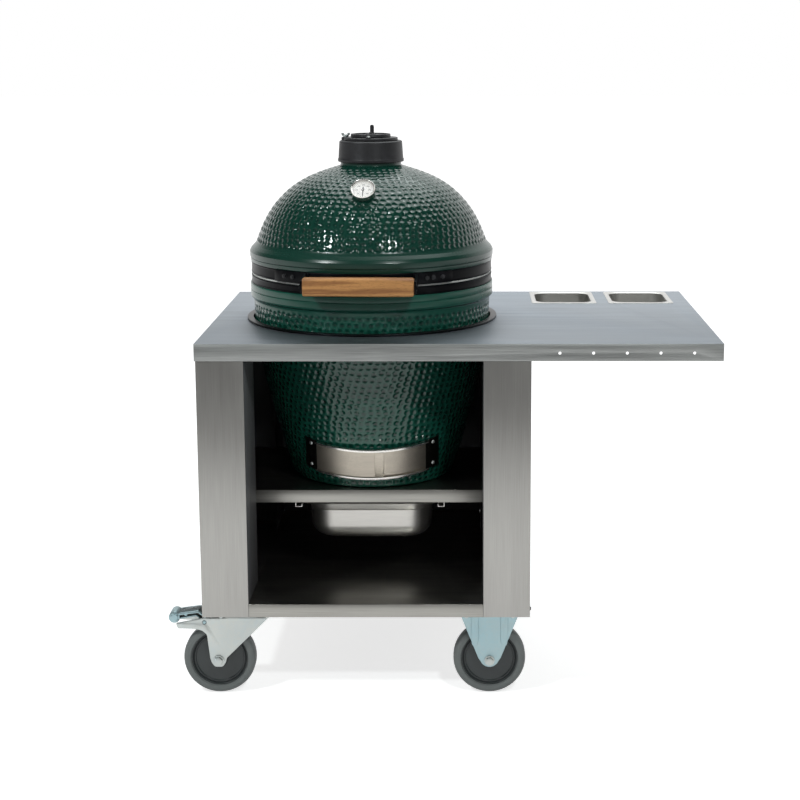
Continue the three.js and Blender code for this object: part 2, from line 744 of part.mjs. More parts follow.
function makeEggBase() {
  const inside = bodyCurve.filter(([, height]) => height > eggFloor).reverse();
  const points = [
    [0, 0], ...bodyCurve, [eggRadius, bodyTop + rimSlope], [eggRadius, lowerRimTop],
    [bandSeatRadius, lowerRimTop], [bandSeatRadius, baseTop], [rimInner, baseTop], [rimInner, lowerRimTop],
    ...inside.map(([radius, height]) => [radius - eggWall, height]),
    [bodyRadius(eggFloor) - eggWall, eggFloor], [0, eggFloor],
  ];
  return shaped(solid(turnedBody(points)).subtract(solid(onDraft(draftWay()))));
}

// Fire box with its grate ledge and a draft opening that lines up with the one in the base
const fireBoxFoot = eggFloor + seat;
const fireBoxTop = fireBoxFoot + fireBoxHeight;
const ledgeTop = fireBoxFoot + grateLevel;
const fireLevels = 3;

/** Outer radius of the fire box at a height above the kamado's foot. */
function fireRadius(height) {
  return bodyRadius(height) - eggWall - fireGap;
}

function makeFireBox() {
  const outside = [];
  for (let i = 0; i <= fireLevels; i += 1) {
    const height = fireBoxFoot + fireBoxHeight * i / fireLevels;
    outside.push([fireRadius(height), height]);
  }
  const inside = outside.filter(([, height]) => height > ledgeTop).reverse();
  const narrow = fireRadius(ledgeTop) - fireBoxWall - grateLedge;
  const body = ring([
    ...outside, ...inside.map(([radius, height]) => [radius - fireBoxWall, height]),
    [fireRadius(ledgeTop) - fireBoxWall, ledgeTop], [narrow, ledgeTop], [narrow, fireBoxFoot],
  ]);
  return shaped(solid(body).subtract(solid(onDraft(draftWay()))));
}

function makeFireGrate() {
  const radius = fireRadius(ledgeTop) - fireBoxWall - panFit;
  const low = ledgeTop + seat;
  let body = solid(post(radius, low, low + grateThickness, kamadoSteps));
  const rows = Math.floor((radius - grateSlotPitch) / grateSlotPitch);
  for (let i = -rows; i <= rows; i += 1) {
    const across = i * grateSlotPitch;
    const half = Math.sqrt(radius ** 2 - across ** 2) - radius * (1 - grateSlotLengthShare) / 2;
    const slot = slab(
      [across - grateSlotWidth / 2, -half, low - cutOverrun],
      [across + grateSlotWidth / 2, half, low + grateThickness + cutOverrun],
    );
    body = body.subtract(solid(slot));
  }
  return shaped(body);
}

const fireRingRadius = rimInner - fireRingGap;
const gridRadius = fireRingRadius - gridInset;
const fireRingFoot = fireBoxTop + seat;
const gridFoot = fireRingFoot + fireRingHeight + seat;

function makeFireRing() {
  const [inner, outer] = [fireRingRadius - fireRingWall, fireRingRadius];
  const top = fireRingFoot + fireRingHeight;
  return ring([[inner, fireRingFoot], [outer, fireRingFoot], [outer, top], [inner, top]]);
}

function makeCookingGrid() {
  const [low, high] = [gridFoot, gridFoot + gridThickness];
  const [inner, outer] = [gridRadius - gridRim, gridRadius];
  let body = solid(ring([[inner, low], [outer, low], [outer, high], [inner, high]]));
  const rows = Math.floor(inner / gridBarPitch);
  for (let i = -rows; i <= rows; i += 1) {
    const across = i * gridBarPitch;
    const half = Math.sqrt(((inner + outer) / 2) ** 2 - across ** 2);
    body = body.add(solid(slab([across - gridBar / 2, -half, low], [across + gridBar / 2, half, high])));
  }
  return shaped(body);
}

// Draft frame and sliding door, both bent round one leaning axis
/** The part of a ring outline between two angles about the draft axis. */
function draftPiece(points, from, to) {
  return solid(ring(points)).intersect(solid(wedge(from, to, eggRadius, -draftHeight, draftHeight)));
}

/** A bent plate between two offsets from the frame's back and two heights. */
function draftPlate(near, far, low, high, from, to) {
  const [inner, outer] = [draftRadius + near, draftRadius + far];
  return draftPiece([[inner, low], [outer, low], [outer, high], [inner, high]], from, to);
}

/** One hooked rail of the frame, at the top for side 1 and at the bottom for side -1. */
function draftRailPiece(side) {
  const [inner, outer, edge] = [draftRadius, draftRadius + draftRailReach, draftHeight / 2];
  const outline = [
    [inner, edge - draftRail], [outer - draftSheet, edge - draftRail],
    [outer - draftSheet, edge - draftRailLip], [outer, edge - draftRailLip], [outer, edge], [inner, edge],
  ];
  const turned = side > 0 ? outline : outline.map(([radius, height]) => [radius, -height]).reverse();
  return draftPiece(turned, -draftRailHalfAngle, draftRailHalfAngle);
}

function makeDraftFrame() {
  const edge = draftHeight / 2;
  const plate = draftPlate(0, draftSheet, -edge, edge, -draftFrameHalfAngle, draftFrameHalfAngle);
  const framed = plate.add(draftRailPiece(1)).add(draftRailPiece(-1)).subtract(solid(draftWay()));
  return onDraft(shaped(framed));
}

function makeDraftDoor() {
  const high = draftHeight / 2 - draftRail - draftSlide;
  const tabHigh = draftHeight / 2 - draftRailLip - draftSlide;
  const near = draftSheet + draftSlide;
  const door = draftPlate(near, near + draftSheet, -high, high, draftDoorLowAngle, draftDoorHighAngle);
  const tab = draftPlate(near, near + draftTabReach, -tabHigh, tabHigh, draftTabLowAngle, draftDoorHighAngle);
  return onDraft(shaped(door.add(tab)));
}

// Bands, gasket and hinge, in the group that turns with the lid's front
const lidFoot = baseTop + gasketThickness + 2 * seat;
const lidBandTop = lidFoot + upperBandHeight + 2 * seat;
const bandOuter = around(bandSeatRadius) + bandThickness;
const hingeY = eggRadius + hingePinFromEgg;
const hingeZ = lidFoot - hingePinRadius / 2;

/** A steel band round the seat between two heights. */
function makeBand(low, high) {
  const inner = around(bandSeatRadius);
  return ring([[inner, low], [bandOuter, low], [bandOuter, high], [inner, high]]);
}

function makeGasket() {
  const [inner, outer] = [rimInner, bandSeatRadius - gasketInset];
  const [low, high] = [baseTop + seat, baseTop + seat + gasketThickness];
  return ring([[inner, low], [outer, low], [outer, high], [inner, high]]);
}

/** A wing that lies on a band, between two angles. */
function bandWing(sheet, from, to, low, high) {
  const inner = around(bandOuter);
  const body = solid(ring([[inner, low], [inner + sheet, low], [inner + sheet, high], [inner, high]]));
  const sector = wedge(from, to, inner + sheet + cutOverrun, low - cutOverrun, high + cutOverrun);
  return body.intersect(solid(sector));
}

/** A hinge bracket: a wing on its band and two ears with eyes for the pin. */
function makeHingeBracket(low, high, earMiddle) {
  const [from, to] = [rearAngle - hingeWingHalfAngle, rearAngle + hingeWingHalfAngle];
  let body = bandWing(hingeWingSheet, from, to, low, high);
  const root = Math.sqrt((around(bandOuter) + hingeWingSheet / 2) ** 2 - earMiddle ** 2);
  const [armLow, armHigh] = [Math.min(low, hingeZ), Math.max(high, hingeZ)];
  for (const side of [-1, 1]) {
    const [left, right] = [side * earMiddle - hingeEarSheet / 2, side * earMiddle + hingeEarSheet / 2];
    const arm = outlineOf([
      [root, low], [hingeY, Math.max(armLow, hingeZ - hingeEyeRadius)],
      [hingeY, Math.min(armHigh, hingeZ + hingeEyeRadius)], [root, high],
    ]);
    const eye = spindle(hingeEyeRadius, hingeEarSheet).rotateZ(Math.PI / 2);
    const hole = spindle(hingePinRadius + axleFit, 2 * hingeEarSheet).rotateZ(Math.PI / 2);
    body = body.add(solid(acrossWidth(arm, left, right)));
    body = body.add(solid(eye.translate(side * earMiddle, hingeY, hingeZ)));
    body = body.subtract(solid(hole.translate(side * earMiddle, hingeY, hingeZ)));
  }
  return shaped(body);
}

const upperEarOffset = hingeEarOffset - hingeEarSheet - hingeEarGap;

function makeHingePin() {
  const length = 2 * (hingeEarOffset + hingeEarSheet / 2 + hingePinOverhang);
  return spindle(hingePinRadius, length).rotateZ(Math.PI / 2).translate(0, hingeY, hingeZ);
}

// Lid with its neck and the boss under the thermometer
const lidRimTop = lidBandTop + lidRimHeight;
const domeFoot = lidRimTop + lidRimBevel;
const domeCurve = curvePoints(domeOutlineShares, lidEdgeRadius, domeHeight, domeCurveSteps);
const domeTop = domeFoot + domeHeight;
const neckTop = domeTop + neckHeight;
const gaugeIndex = Math.round(domeCurve.length * gaugeLevelShare) - 1;
const gaugePlace = domeCurve[gaugeIndex];

/** Puts a geometry made round the thermometer's axis onto the dome. */
function onGauge(geometry) {
  return geometry.rotateX(gaugeTilt).translate(0, -gaugePlace[0], domeFoot + gaugePlace[1]);
}

function makeLid() {
  const outside = domeCurve.slice(0, -1).map(([radius, height]) => [radius, domeFoot + height]);
  const lining = ([radius, height]) => [radius - eggWall, height - eggWall / 2];
  const inside = outside.slice(0, -1).reverse().map(lining);
  const shoulder = domeCurve[domeCurve.length - 1][0];
  const points = [
    [rimInner, lidFoot], [bandSeatRadius, lidFoot], [bandSeatRadius, lidBandTop], [eggRadius, lidBandTop],
    [eggRadius, lidRimTop], ...outside, [shoulder, domeTop], [neckRadius, domeTop + seat],
    [neckRadius, neckTop], [chimneyRadius, neckTop], [chimneyRadius, domeTop - eggWall], ...inside,
    [rimInner, lidRimTop - rimSlope],
  ];
  const boss = onGauge(post(gaugeBossRadius, -eggWall / 2, gaugeBossHeight, 2 * pinSteps));
  const hole = onGauge(post(gaugeStemRadius + axleFit, -gaugeStemLength, gaugeStemLength));
  return shaped(solid(ring(points)).add(solid(boss)).subtract(solid(hole)));
}

// Thermometer
const gaugeFoot = gaugeBossHeight + seat;

function makeGaugeCase() {
  const [inner, ledge] = [gaugeRadius - gaugeWall, gaugeRadius - gaugeWall - gaugeLedge];
  const [dial, step, top] = [gaugeFoot + gaugeDialLevel, gaugeFoot + gaugeLedgeLevel, gaugeFoot + gaugeDepth];
  const pin = dial + needleThickness + 3 * seat;
  return onGauge(turnedBody([
    [0, -gaugeStemLength], [gaugeStemRadius, -gaugeStemLength], [gaugeStemRadius, gaugeFoot],
    [gaugeBossRadius, gaugeFoot], [gaugeRadius, gaugeFoot + gaugeWall], [gaugeRadius, top], [inner, top],
    [inner, step], [ledge, step], [ledge, dial], [needlePinRadius, dial], [needlePinRadius, pin], [0, pin],
  ], 2 * pinSteps));
}

function makeGaugeGlass() {
  const low = gaugeFoot + gaugeLedgeLevel + seat;
  return onGauge(post(gaugeRadius - gaugeWall - 2 * seat, low, low + gaugeGlass, 2 * pinSteps));
}

function makeNeedle() {
  const low = gaugeFoot + gaugeDialLevel + seat;
  const high = low + needleThickness;
  const pointer = raised(outlineOf([
    [-needleWidth / 2, needleHubRadius], [0, -needleLength], [needleWidth / 2, needleHubRadius],
  ]), low, high);
  const hole = post(needlePinRadius + seat, low - cutOverrun, high + cutOverrun);
  const body = solid(post(needleHubRadius, low, high)).add(solid(pointer)).subtract(solid(hole));
  return onGauge(shaped(body));
}

// Handle and its two brackets
const handleFront = -eggRadius - handleReach;
const handleLow = lidFoot - handleDrop;

function makeHandle() {
  const section = roundRectangle(handleDepth, handleHeight, handleRound);
  const bar = acrossWidth(section, -handleLength / 2, handleLength / 2);
  return bar.translate(0, handleFront + handleDepth / 2, handleLow + handleHeight / 2);
}

/** A handle bracket: a wing on the upper band and an arm that runs forward to the handle's end. */
function makeHandleBracket(side) {
  const [low, high] = [lidFoot + 2 * seat, lidFoot + upperBandHeight - seat];
  const near = handleLength / 2 + seat;
  const far = near + handleBracketSheet;
  const [wingRadius, armX] = [around(bandOuter) + handleWingSheet / 2, (near + far) / 2];
  const inner = THREE.MathUtils.radToDeg(Math.asin(armX / wingRadius)) - handleWingOverlapAngle;
  const outer = inner + handleWingSpanAngle;
  const [from, to] = side < 0 ? [-outer, -inner] : [inner, outer];
  const root = -Math.sqrt(wingRadius ** 2 - armX ** 2);
  const tip = handleFront + handleDepth / 4;
  const middle = handleLow + handleHeight / 2;
  const arm = outlineOf([
    [tip, middle - handleArmHeight / 2], [handleFront + handleDepth, middle - handleArmHeight / 2],
    [root, low], [root, high], [handleFront + handleDepth, middle + handleArmHeight / 2],
    [tip, middle + handleArmHeight / 2],
  ]);
  const plate = acrossWidth(arm, side < 0 ? -far : near, side < 0 ? -near : far);
  return shaped(bandWing(handleWingSheet, from, to, low, high).add(solid(plate)));
}

// Vent cap on the neck: collar with its pivot, swinging plate, slotted wheel with a finger tab
const collarFootZ = neckTop - collarSeat - collarFit;
const collarTop = collarFootZ + collarHeight;
const plateFoot = collarTop + seat;
const plateTop = plateFoot + ventPlateThickness;
const ventWheelFoot = plateTop + seat;
const ventWheelTop = ventWheelFoot + ventWheelThickness;

function makeCollar() {
  const inner = around(neckRadius);
  const ledge = neckTop + collarFit;
  const body = solid(ring([
    [inner, collarFootZ], [collarLowRadius, collarFootZ], [collarLowRadius, collarFootZ + collarFoot],
    [collarTopRadius, collarTop], [chimneyRadius, collarTop], [chimneyRadius, ledge], [inner, ledge],
  ]));
  const hole = post(ventPivotRadius + seat, collarTop - ventPivotDepth - seat, collarTop + cutOverrun);
  return shaped(body.subtract(solid(hole.translate(-ventPivotOffset, 0, 0))));
}

function makeCapPivotPin() {
  const head = plateTop + seat;
  return turnedBody([
    [0, collarTop - ventPivotDepth], [ventPivotRadius, collarTop - ventPivotDepth], [ventPivotRadius, head],
    [ventPivotHead, head], [ventPivotHead, head + ventPivotHeadHeight], [0, head + ventPivotHeadHeight],
  ], pinSteps).translate(-ventPivotOffset, 0, 0);
}

/** Cuts the ring of vent holes, turned by an angle. */
function withVentHoles(body, low, high, turn) {
  let cut = body;
  for (let i = 0; i < ventHoleCount; i += 1) {
    const angle = turn + 2 * Math.PI * i / ventHoleCount;
    const drill = post(ventHoleRadius, low - cutOverrun, high + cutOverrun);
    drill.translate(ventHoleCircle * Math.cos(angle), ventHoleCircle * Math.sin(angle), 0);
    cut = cut.subtract(solid(drill));
  }
  return cut;
}

function makeVentPlate() {
  const disc = solid(post(ventPlateRadius, plateFoot, plateTop, 2 * pinSteps));
  const lug = solid(post(ventLugRadius, plateFoot, plateTop).translate(-ventPivotOffset, 0, 0));
  const bore = post(ventPivotRadius + axleFit, plateFoot - cutOverrun, plateTop + cutOverrun);
  const stud = post(ventStudRadius, plateTop - ventStudRadius, plateTop + ventStudHeight);
  const body = disc.add(lug).subtract(solid(bore.translate(-ventPivotOffset, 0, 0))).add(solid(stud));
  return shaped(withVentHoles(body, plateFoot, plateTop, 0));
}

function makeVentWheel() {
  const disc = solid(post(ventWheelRadius, ventWheelFoot, ventWheelTop, 2 * pinSteps));
  const back = ventWheelRadius - ventTabInset;
  const tab = slab(
    [-ventTabWidth / 2, back - ventTabThickness, ventWheelTop - ventTabThickness / 2],
    [ventTabWidth / 2, back, ventWheelTop + ventTabHeight],
  );
  const bore = post(ventStudRadius + axleFit, ventWheelFoot - cutOverrun, ventWheelTop + cutOverrun);
  const body = disc.add(solid(tab)).subtract(solid(bore));
  return shaped(withVentHoles(body, ventWheelFoot, ventWheelTop, Math.PI / ventHoleCount));
}

/** Adds the kamado, its bands, its lid and its cap to the table. */
function addKamado(table) {
  const base = new THREE.Group();
  base.position.set(cabinetMiddle, 0, eggFoot);
  base.rotation.z = baseTurn;
  place(base, 'egg_base', makeEggBase(), glaze);
  place(base, 'fire_box', makeFireBox(), fireclay);
  place(base, 'fire_grate', makeFireGrate(), castIron);
  place(base, 'fire_ring', makeFireRing(), fireclay);
  place(base, 'cooking_grid', makeCookingGrid(), stainless);
  place(base, 'draft_frame', makeDraftFrame(), stainless);
  place(base, 'draft_door', makeDraftDoor(), stainless);

  const banded = new THREE.Group();
  banded.position.set(cabinetMiddle, 0, eggFoot);
  banded.rotation.z = lidTurn;
  place(banded, 'rim_gasket', makeGasket(), felt);
  place(banded, 'lower_band', makeBand(lowerRimTop + seat, baseTop - seat), blackPaint);
  place(banded, 'upper_band', makeBand(lidFoot + seat, lidBandTop - seat), blackPaint);
  const [lowerLow, upperLow] = [lowerRimTop + 2 * seat, lidFoot + 2 * seat];
  const lower = makeHingeBracket(lowerLow, baseTop - 2 * seat, hingeEarOffset);
  const upper = makeHingeBracket(upperLow, lidBandTop - 2 * seat, upperEarOffset);
  place(banded, 'lower_hinge_bracket', lower, blackPaint);
  place(banded, 'upper_hinge_bracket', upper, blackPaint);
  place(banded, 'hinge_pin', makeHingePin(), zinc);
  place(banded, 'egg_lid', makeLid(), glaze);
  place(banded, 'wood_handle', makeHandle(), acacia);
  place(banded, 'handle_bracket_left', makeHandleBracket(-1), blackPaint);
  place(banded, 'handle_bracket_right', makeHandleBracket(1), blackPaint);
  place(banded, 'thermometer_case', makeGaugeCase(), stainless);
  place(banded, 'thermometer_needle', makeNeedle(), blackPaint);
  place(banded, 'thermometer_lens', makeGaugeGlass(), glass);
  place(banded, 'cap_collar', makeCollar(), castIron);
  place(banded, 'cap_pivot_pin', makeCapPivotPin(), zinc);
  place(banded, 'vent_plate', makeVentPlate(), castIron);
  place(banded, 'vent_wheel', makeVentWheel(), castIron);
  table.add(base, banded);
}

/** Adds the folded steel cabinet, its pans and rails to the table. */
function addCabinet(table) {
  place(table, 'worktop', makeWorktop(), stainless);
  place(table, 'left_side_shell', makeSideShell(-1), stainless);
  place(table, 'right_side_shell', makeSideShell(1), stainless);
  place(table, 'back_panel', makeBackPanel(), stainless);
  place(table, 'egg_shelf', makeEggShelf(), stainless);
  place(table, 'bottom_shelf', makeBottomShelf(), stainless);
  place(table, 'base_plate_left', makeBasePlate(-1), darkSteel);
  place(table, 'base_plate_right', makeBasePlate(1), darkSteel);
  place(table, 'hole_trim_ring', makeTrimRing(), darkSteel);
  ['insert_pan_left', 'insert_pan_right'].forEach((name, i) => {
    const level = worktopTop + seat;
    const pan = makePan(insertLength, insertDepth, insertHeight, insertFlange, insertCorner, level);
    place(table, name, pan.translate(insertCentres[i], insertCentreY, 0), stainless);
  });
  place(table, 'pan_rail_left', makePanRail(-1), stainless);
  place(table, 'pan_rail_right', makePanRail(1), stainless);
  place(table, 'drip_pan', makeDripPan(), stainless);
}

const group = new THREE.Group();
const table = new THREE.Group();
table.position.x = -tableMiddle;
addCabinet(table);
addCastors(table);
addKamado(table);
group.add(table);

export default group;
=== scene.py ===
"""Kamado grill table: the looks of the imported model.

A dimpled ceramic kamado stands in a folded stainless trolley on castors. Every piece is built in
millimetres, in the frame of the part that carries it, and is put in place inside its own mesh.
"""

import logging
import math
from dataclasses import dataclass
from enum import Enum
from typing import Callable, Iterable, Optional, Sequence, Union

import bmesh
import bpy
from mathutils import Matrix, Vector


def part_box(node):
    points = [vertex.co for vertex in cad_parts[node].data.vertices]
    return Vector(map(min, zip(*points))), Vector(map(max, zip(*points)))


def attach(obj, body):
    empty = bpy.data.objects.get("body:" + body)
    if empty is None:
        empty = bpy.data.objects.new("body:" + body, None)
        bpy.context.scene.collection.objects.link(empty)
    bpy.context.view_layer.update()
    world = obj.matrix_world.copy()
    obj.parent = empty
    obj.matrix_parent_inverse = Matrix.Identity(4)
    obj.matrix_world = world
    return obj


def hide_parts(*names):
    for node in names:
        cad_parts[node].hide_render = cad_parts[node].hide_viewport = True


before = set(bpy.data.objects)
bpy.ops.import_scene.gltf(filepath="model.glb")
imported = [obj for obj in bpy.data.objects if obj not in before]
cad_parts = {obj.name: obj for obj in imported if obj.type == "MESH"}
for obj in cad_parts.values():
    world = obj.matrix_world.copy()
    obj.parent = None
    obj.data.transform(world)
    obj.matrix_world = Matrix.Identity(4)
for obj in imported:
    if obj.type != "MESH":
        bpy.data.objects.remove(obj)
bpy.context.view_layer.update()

MM = 0.001
LOG = logging.getLogger("kamado_table")
Piece = bpy.types.Object
Material = bpy.types.Material
Point = tuple[float, float]
Colour = tuple[float, float, float]
WHITE = (1.0, 1.0, 1.0, 1.0)
DIMPLE_DEPTH = 0.75
IN_MILLIMETRES = Matrix.Scale(MM, 4)
UPRIGHT = Matrix.Rotation(math.pi / 2, 4, "X")
SIDES = (-1, 1)
HANDS = {"left": -1, "right": 1}


class Grain(Enum):
    """The way that a brushed or grown grain runs."""

    ALONG_X = (1.0, 0.0, 0.0)
    ALONG_Z = (0.0, 0.0, 1.0)


class Signal:
    """A value in a node tree that adds Math nodes when it is reckoned with."""

    def __init__(self, wiring: "Wiring", socket: bpy.types.NodeSocket) -> None:
        """Wraps one output socket.

        Args:
            wiring: The tree that the socket belongs to.
            socket: The output socket.
        """
        self.wiring = wiring
        self.socket = socket

    def _math(self, operation: str, first: "Value", second: "Value" = 0.0) -> "Signal":
        """Adds one Math node.

        Args:
            operation: The Math node's operation.
            first: The first operand.
            second: The second operand.

        Returns:
            The node's result.
        """
        return self.wiring.node("ShaderNodeMath", {"operation": operation}, {0: first, 1: second})

    def __add__(self, other: "Value") -> "Signal":
        """This value plus another."""
        return self._math("ADD", self, other)

    __radd__ = __add__

    def __sub__(self, other: "Value") -> "Signal":
        """This value less another."""
        return self._math("SUBTRACT", self, other)

    def __rsub__(self, other: "Value") -> "Signal":
        """Another value less this one."""
        return self._math("SUBTRACT", other, self)

    def __mul__(self, other: "Value") -> "Signal":
        """This value times another."""
        return self._math("MULTIPLY", self, other)

    def __truediv__(self, other: "Value") -> "Signal":
        """This value over another."""
        return self._math("DIVIDE", self, other)

    def __pow__(self, other: "Value") -> "Signal":
        """This value to a power."""
        return self._math("POWER", self, other)

    def most(self, other: "Value") -> "Signal":
        """The larger of this value and another."""
        return self._math("MAXIMUM", self, other)

    def least(self, other: "Value") -> "Signal":
        """The smaller of this value and another."""
        return self._math("MINIMUM", self, other)

    def sine(self) -> "Signal":
        """The sine of this value."""
        return self._math("SINE", self)

    def floor(self) -> "Signal":
        """The whole number at or below this value."""
        return self._math("FLOOR", self)

    def nearest(self) -> "Signal":
        """The whole number nearest to this value."""
        return self._math("ROUND", self)

    def remainder(self, other: "Value") -> "Signal":
        """What is left of this value after whole steps of another."""
        return self._math("FLOORED_MODULO", self, other)

    def angle_with(self, other: "Value") -> "Signal":
        """The angle, in radians, of the way that goes this far up and another far across."""
        return self._math("ARCTAN2", self, other)

    def ease(self, low: float, high: float, start: float = 0.0, end: float = 1.0) -> "Signal":
        """Runs smoothly from start to end while this value goes from low to high.

        Args:
            low: Where the change starts.
            high: Where the change ends.
            start: The result at and below low.
            end: The result at and above high.

        Returns:
            The eased value.
        """
        settings = {"interpolation_type": "SMOOTHSTEP"}
        values = {"Value": self, "From Min": low, "From Max": high, "To Min": start, "To Max": end}
        return self.wiring.node("ShaderNodeMapRange", settings, values)


Value = Union[Signal, float]


class Wiring:
    """Builds the nodes of one tree."""

    def __init__(self, tree: bpy.types.NodeTree) -> None:
        """Takes a tree and empties it.

        Args:
            tree: The node tree of a material, a world or a modifier.
        """
        self.tree = tree
        self.tree.nodes.clear()

    def node(
        self,
        kind: str,
        settings: Optional[dict] = None,
        values: Optional[dict] = None,
        out: Union[int, str] = 0,
    ) -> Signal:
        """Adds a node, sets it, then gives its sockets their values or links.

        Args:
            kind: The node's type.
            settings: The node's own settings. "stops" are the (place, colour) pairs of a ramp, and
                "line" holds the points of a curve.
            values: Socket names or numbers, and what each one gets.
            out: The output that the result stands for.

        Returns:
            The chosen output.
        """
        made = self.tree.nodes.new(kind)
        for name, value in (settings or {}).items():
            if name == "stops":
                ramp = made.color_ramp
                while len(ramp.elements) < len(value):
                    ramp.elements.new(1.0)
                for element, (place, colour) in zip(ramp.elements, value):
                    element.position = place
                    element.color = (*colour, 1.0)
            elif name == "line":
                line = made.mapping.curves[0].points
                for point in value[1:-1]:
                    line.new(*point)
                line[0].location, line[-1].location = value[0], value[-1]
                for knot in line:
                    knot.handle_type = "VECTOR"
                made.mapping.update()
            else:
                setattr(made, name, value)
        for key, value in (values or {}).items():
            socket = made.inputs[key]
            if isinstance(value, Signal):
                self.tree.links.new(value.socket, socket)
            else:
                socket.default_value = value
        return Signal(self, made.outputs[out] if made.outputs else None)

    def axis(self, vector: Signal, i: int) -> Signal:
        """One of a vector's three numbers."""
        return self.node("ShaderNodeSeparateXYZ", {}, {0: vector}, i)

    def blend(self, first: Union[Signal, Colour], second: Union[Signal, Colour], share: Value) -> Signal:
        """Mixes two colours.

        Args:
            first: The colour at share 0.
            second: The colour at share 1.
            share: How much of the second colour shows.

        Returns:
            The mixed colour.
        """
        pair = [c if isinstance(c, Signal) else (*c, 1.0) for c in (first, second)]
        return self.node("ShaderNodeMix", {"data_type": "RGBA"}, {0: share, 6: pair[0], 7: pair[1]}, 2)


class Shader(Wiring):
    """A material under construction, with the patterns that the finishes share."""

    def __init__(self, name: str) -> None:
        """Makes an empty material.

        Args:
            name: The material's name.
        """
        self.material = bpy.data.materials.new(name)
        self.material.use_nodes = True
        super().__init__(self.material.node_tree)
        self.place = self.node("ShaderNodeTexCoord", out="Object")

    def stretched(self, scale: tuple[float, float, float]) -> Signal:
        """Object coordinates scaled along each axis."""
        return self.node("ShaderNodeMapping", {}, {"Vector": self.place, "Scale": scale})

    def noise(self, scale: Union[float, tuple[float, float, float]], detail: float = 3.0) -> Signal:
        """Noise from 0 to 1, with about scale cells to the metre.

        Args:
            scale: Cells to the metre, alike all round or along each axis.
            detail: How many finer layers it has.

        Returns:
            The noise.
        """
        if isinstance(scale, tuple):
            values = {"Vector": self.stretched(scale), "Scale": 1.0, "Detail": detail}
        else:
            values = {"Vector": self.place, "Scale": scale, "Detail": detail}
        return self.node("ShaderNodeTexNoise", {}, values)

    def relief(self, height: Signal, strength: float, depth: float, under: Optional[Signal] = None) -> Signal:
        """Turns a height into a normal.

        Args:
            height: The height pattern.
            strength: How much of it shows.
            depth: Its depth in millimetres.
            under: A normal that it adds to.

        Returns:
            The bumped normal.
        """
        values = {"Height": height, "Strength": strength, "Distance": depth * MM}
        if under is not None:
            values["Normal"] = under
        return self.node("ShaderNodeBump", {}, values)

    def finish(self, values: dict) -> Material:
        """Ends the material in a Principled shader.

        Args:
            values: The shader's socket values and links.

        Returns:
            The finished material.
        """
        surface = self.node("ShaderNodeBsdfPrincipled", {}, values)
        self.node("ShaderNodeOutputMaterial", {}, {"Surface": surface})
        return self.material


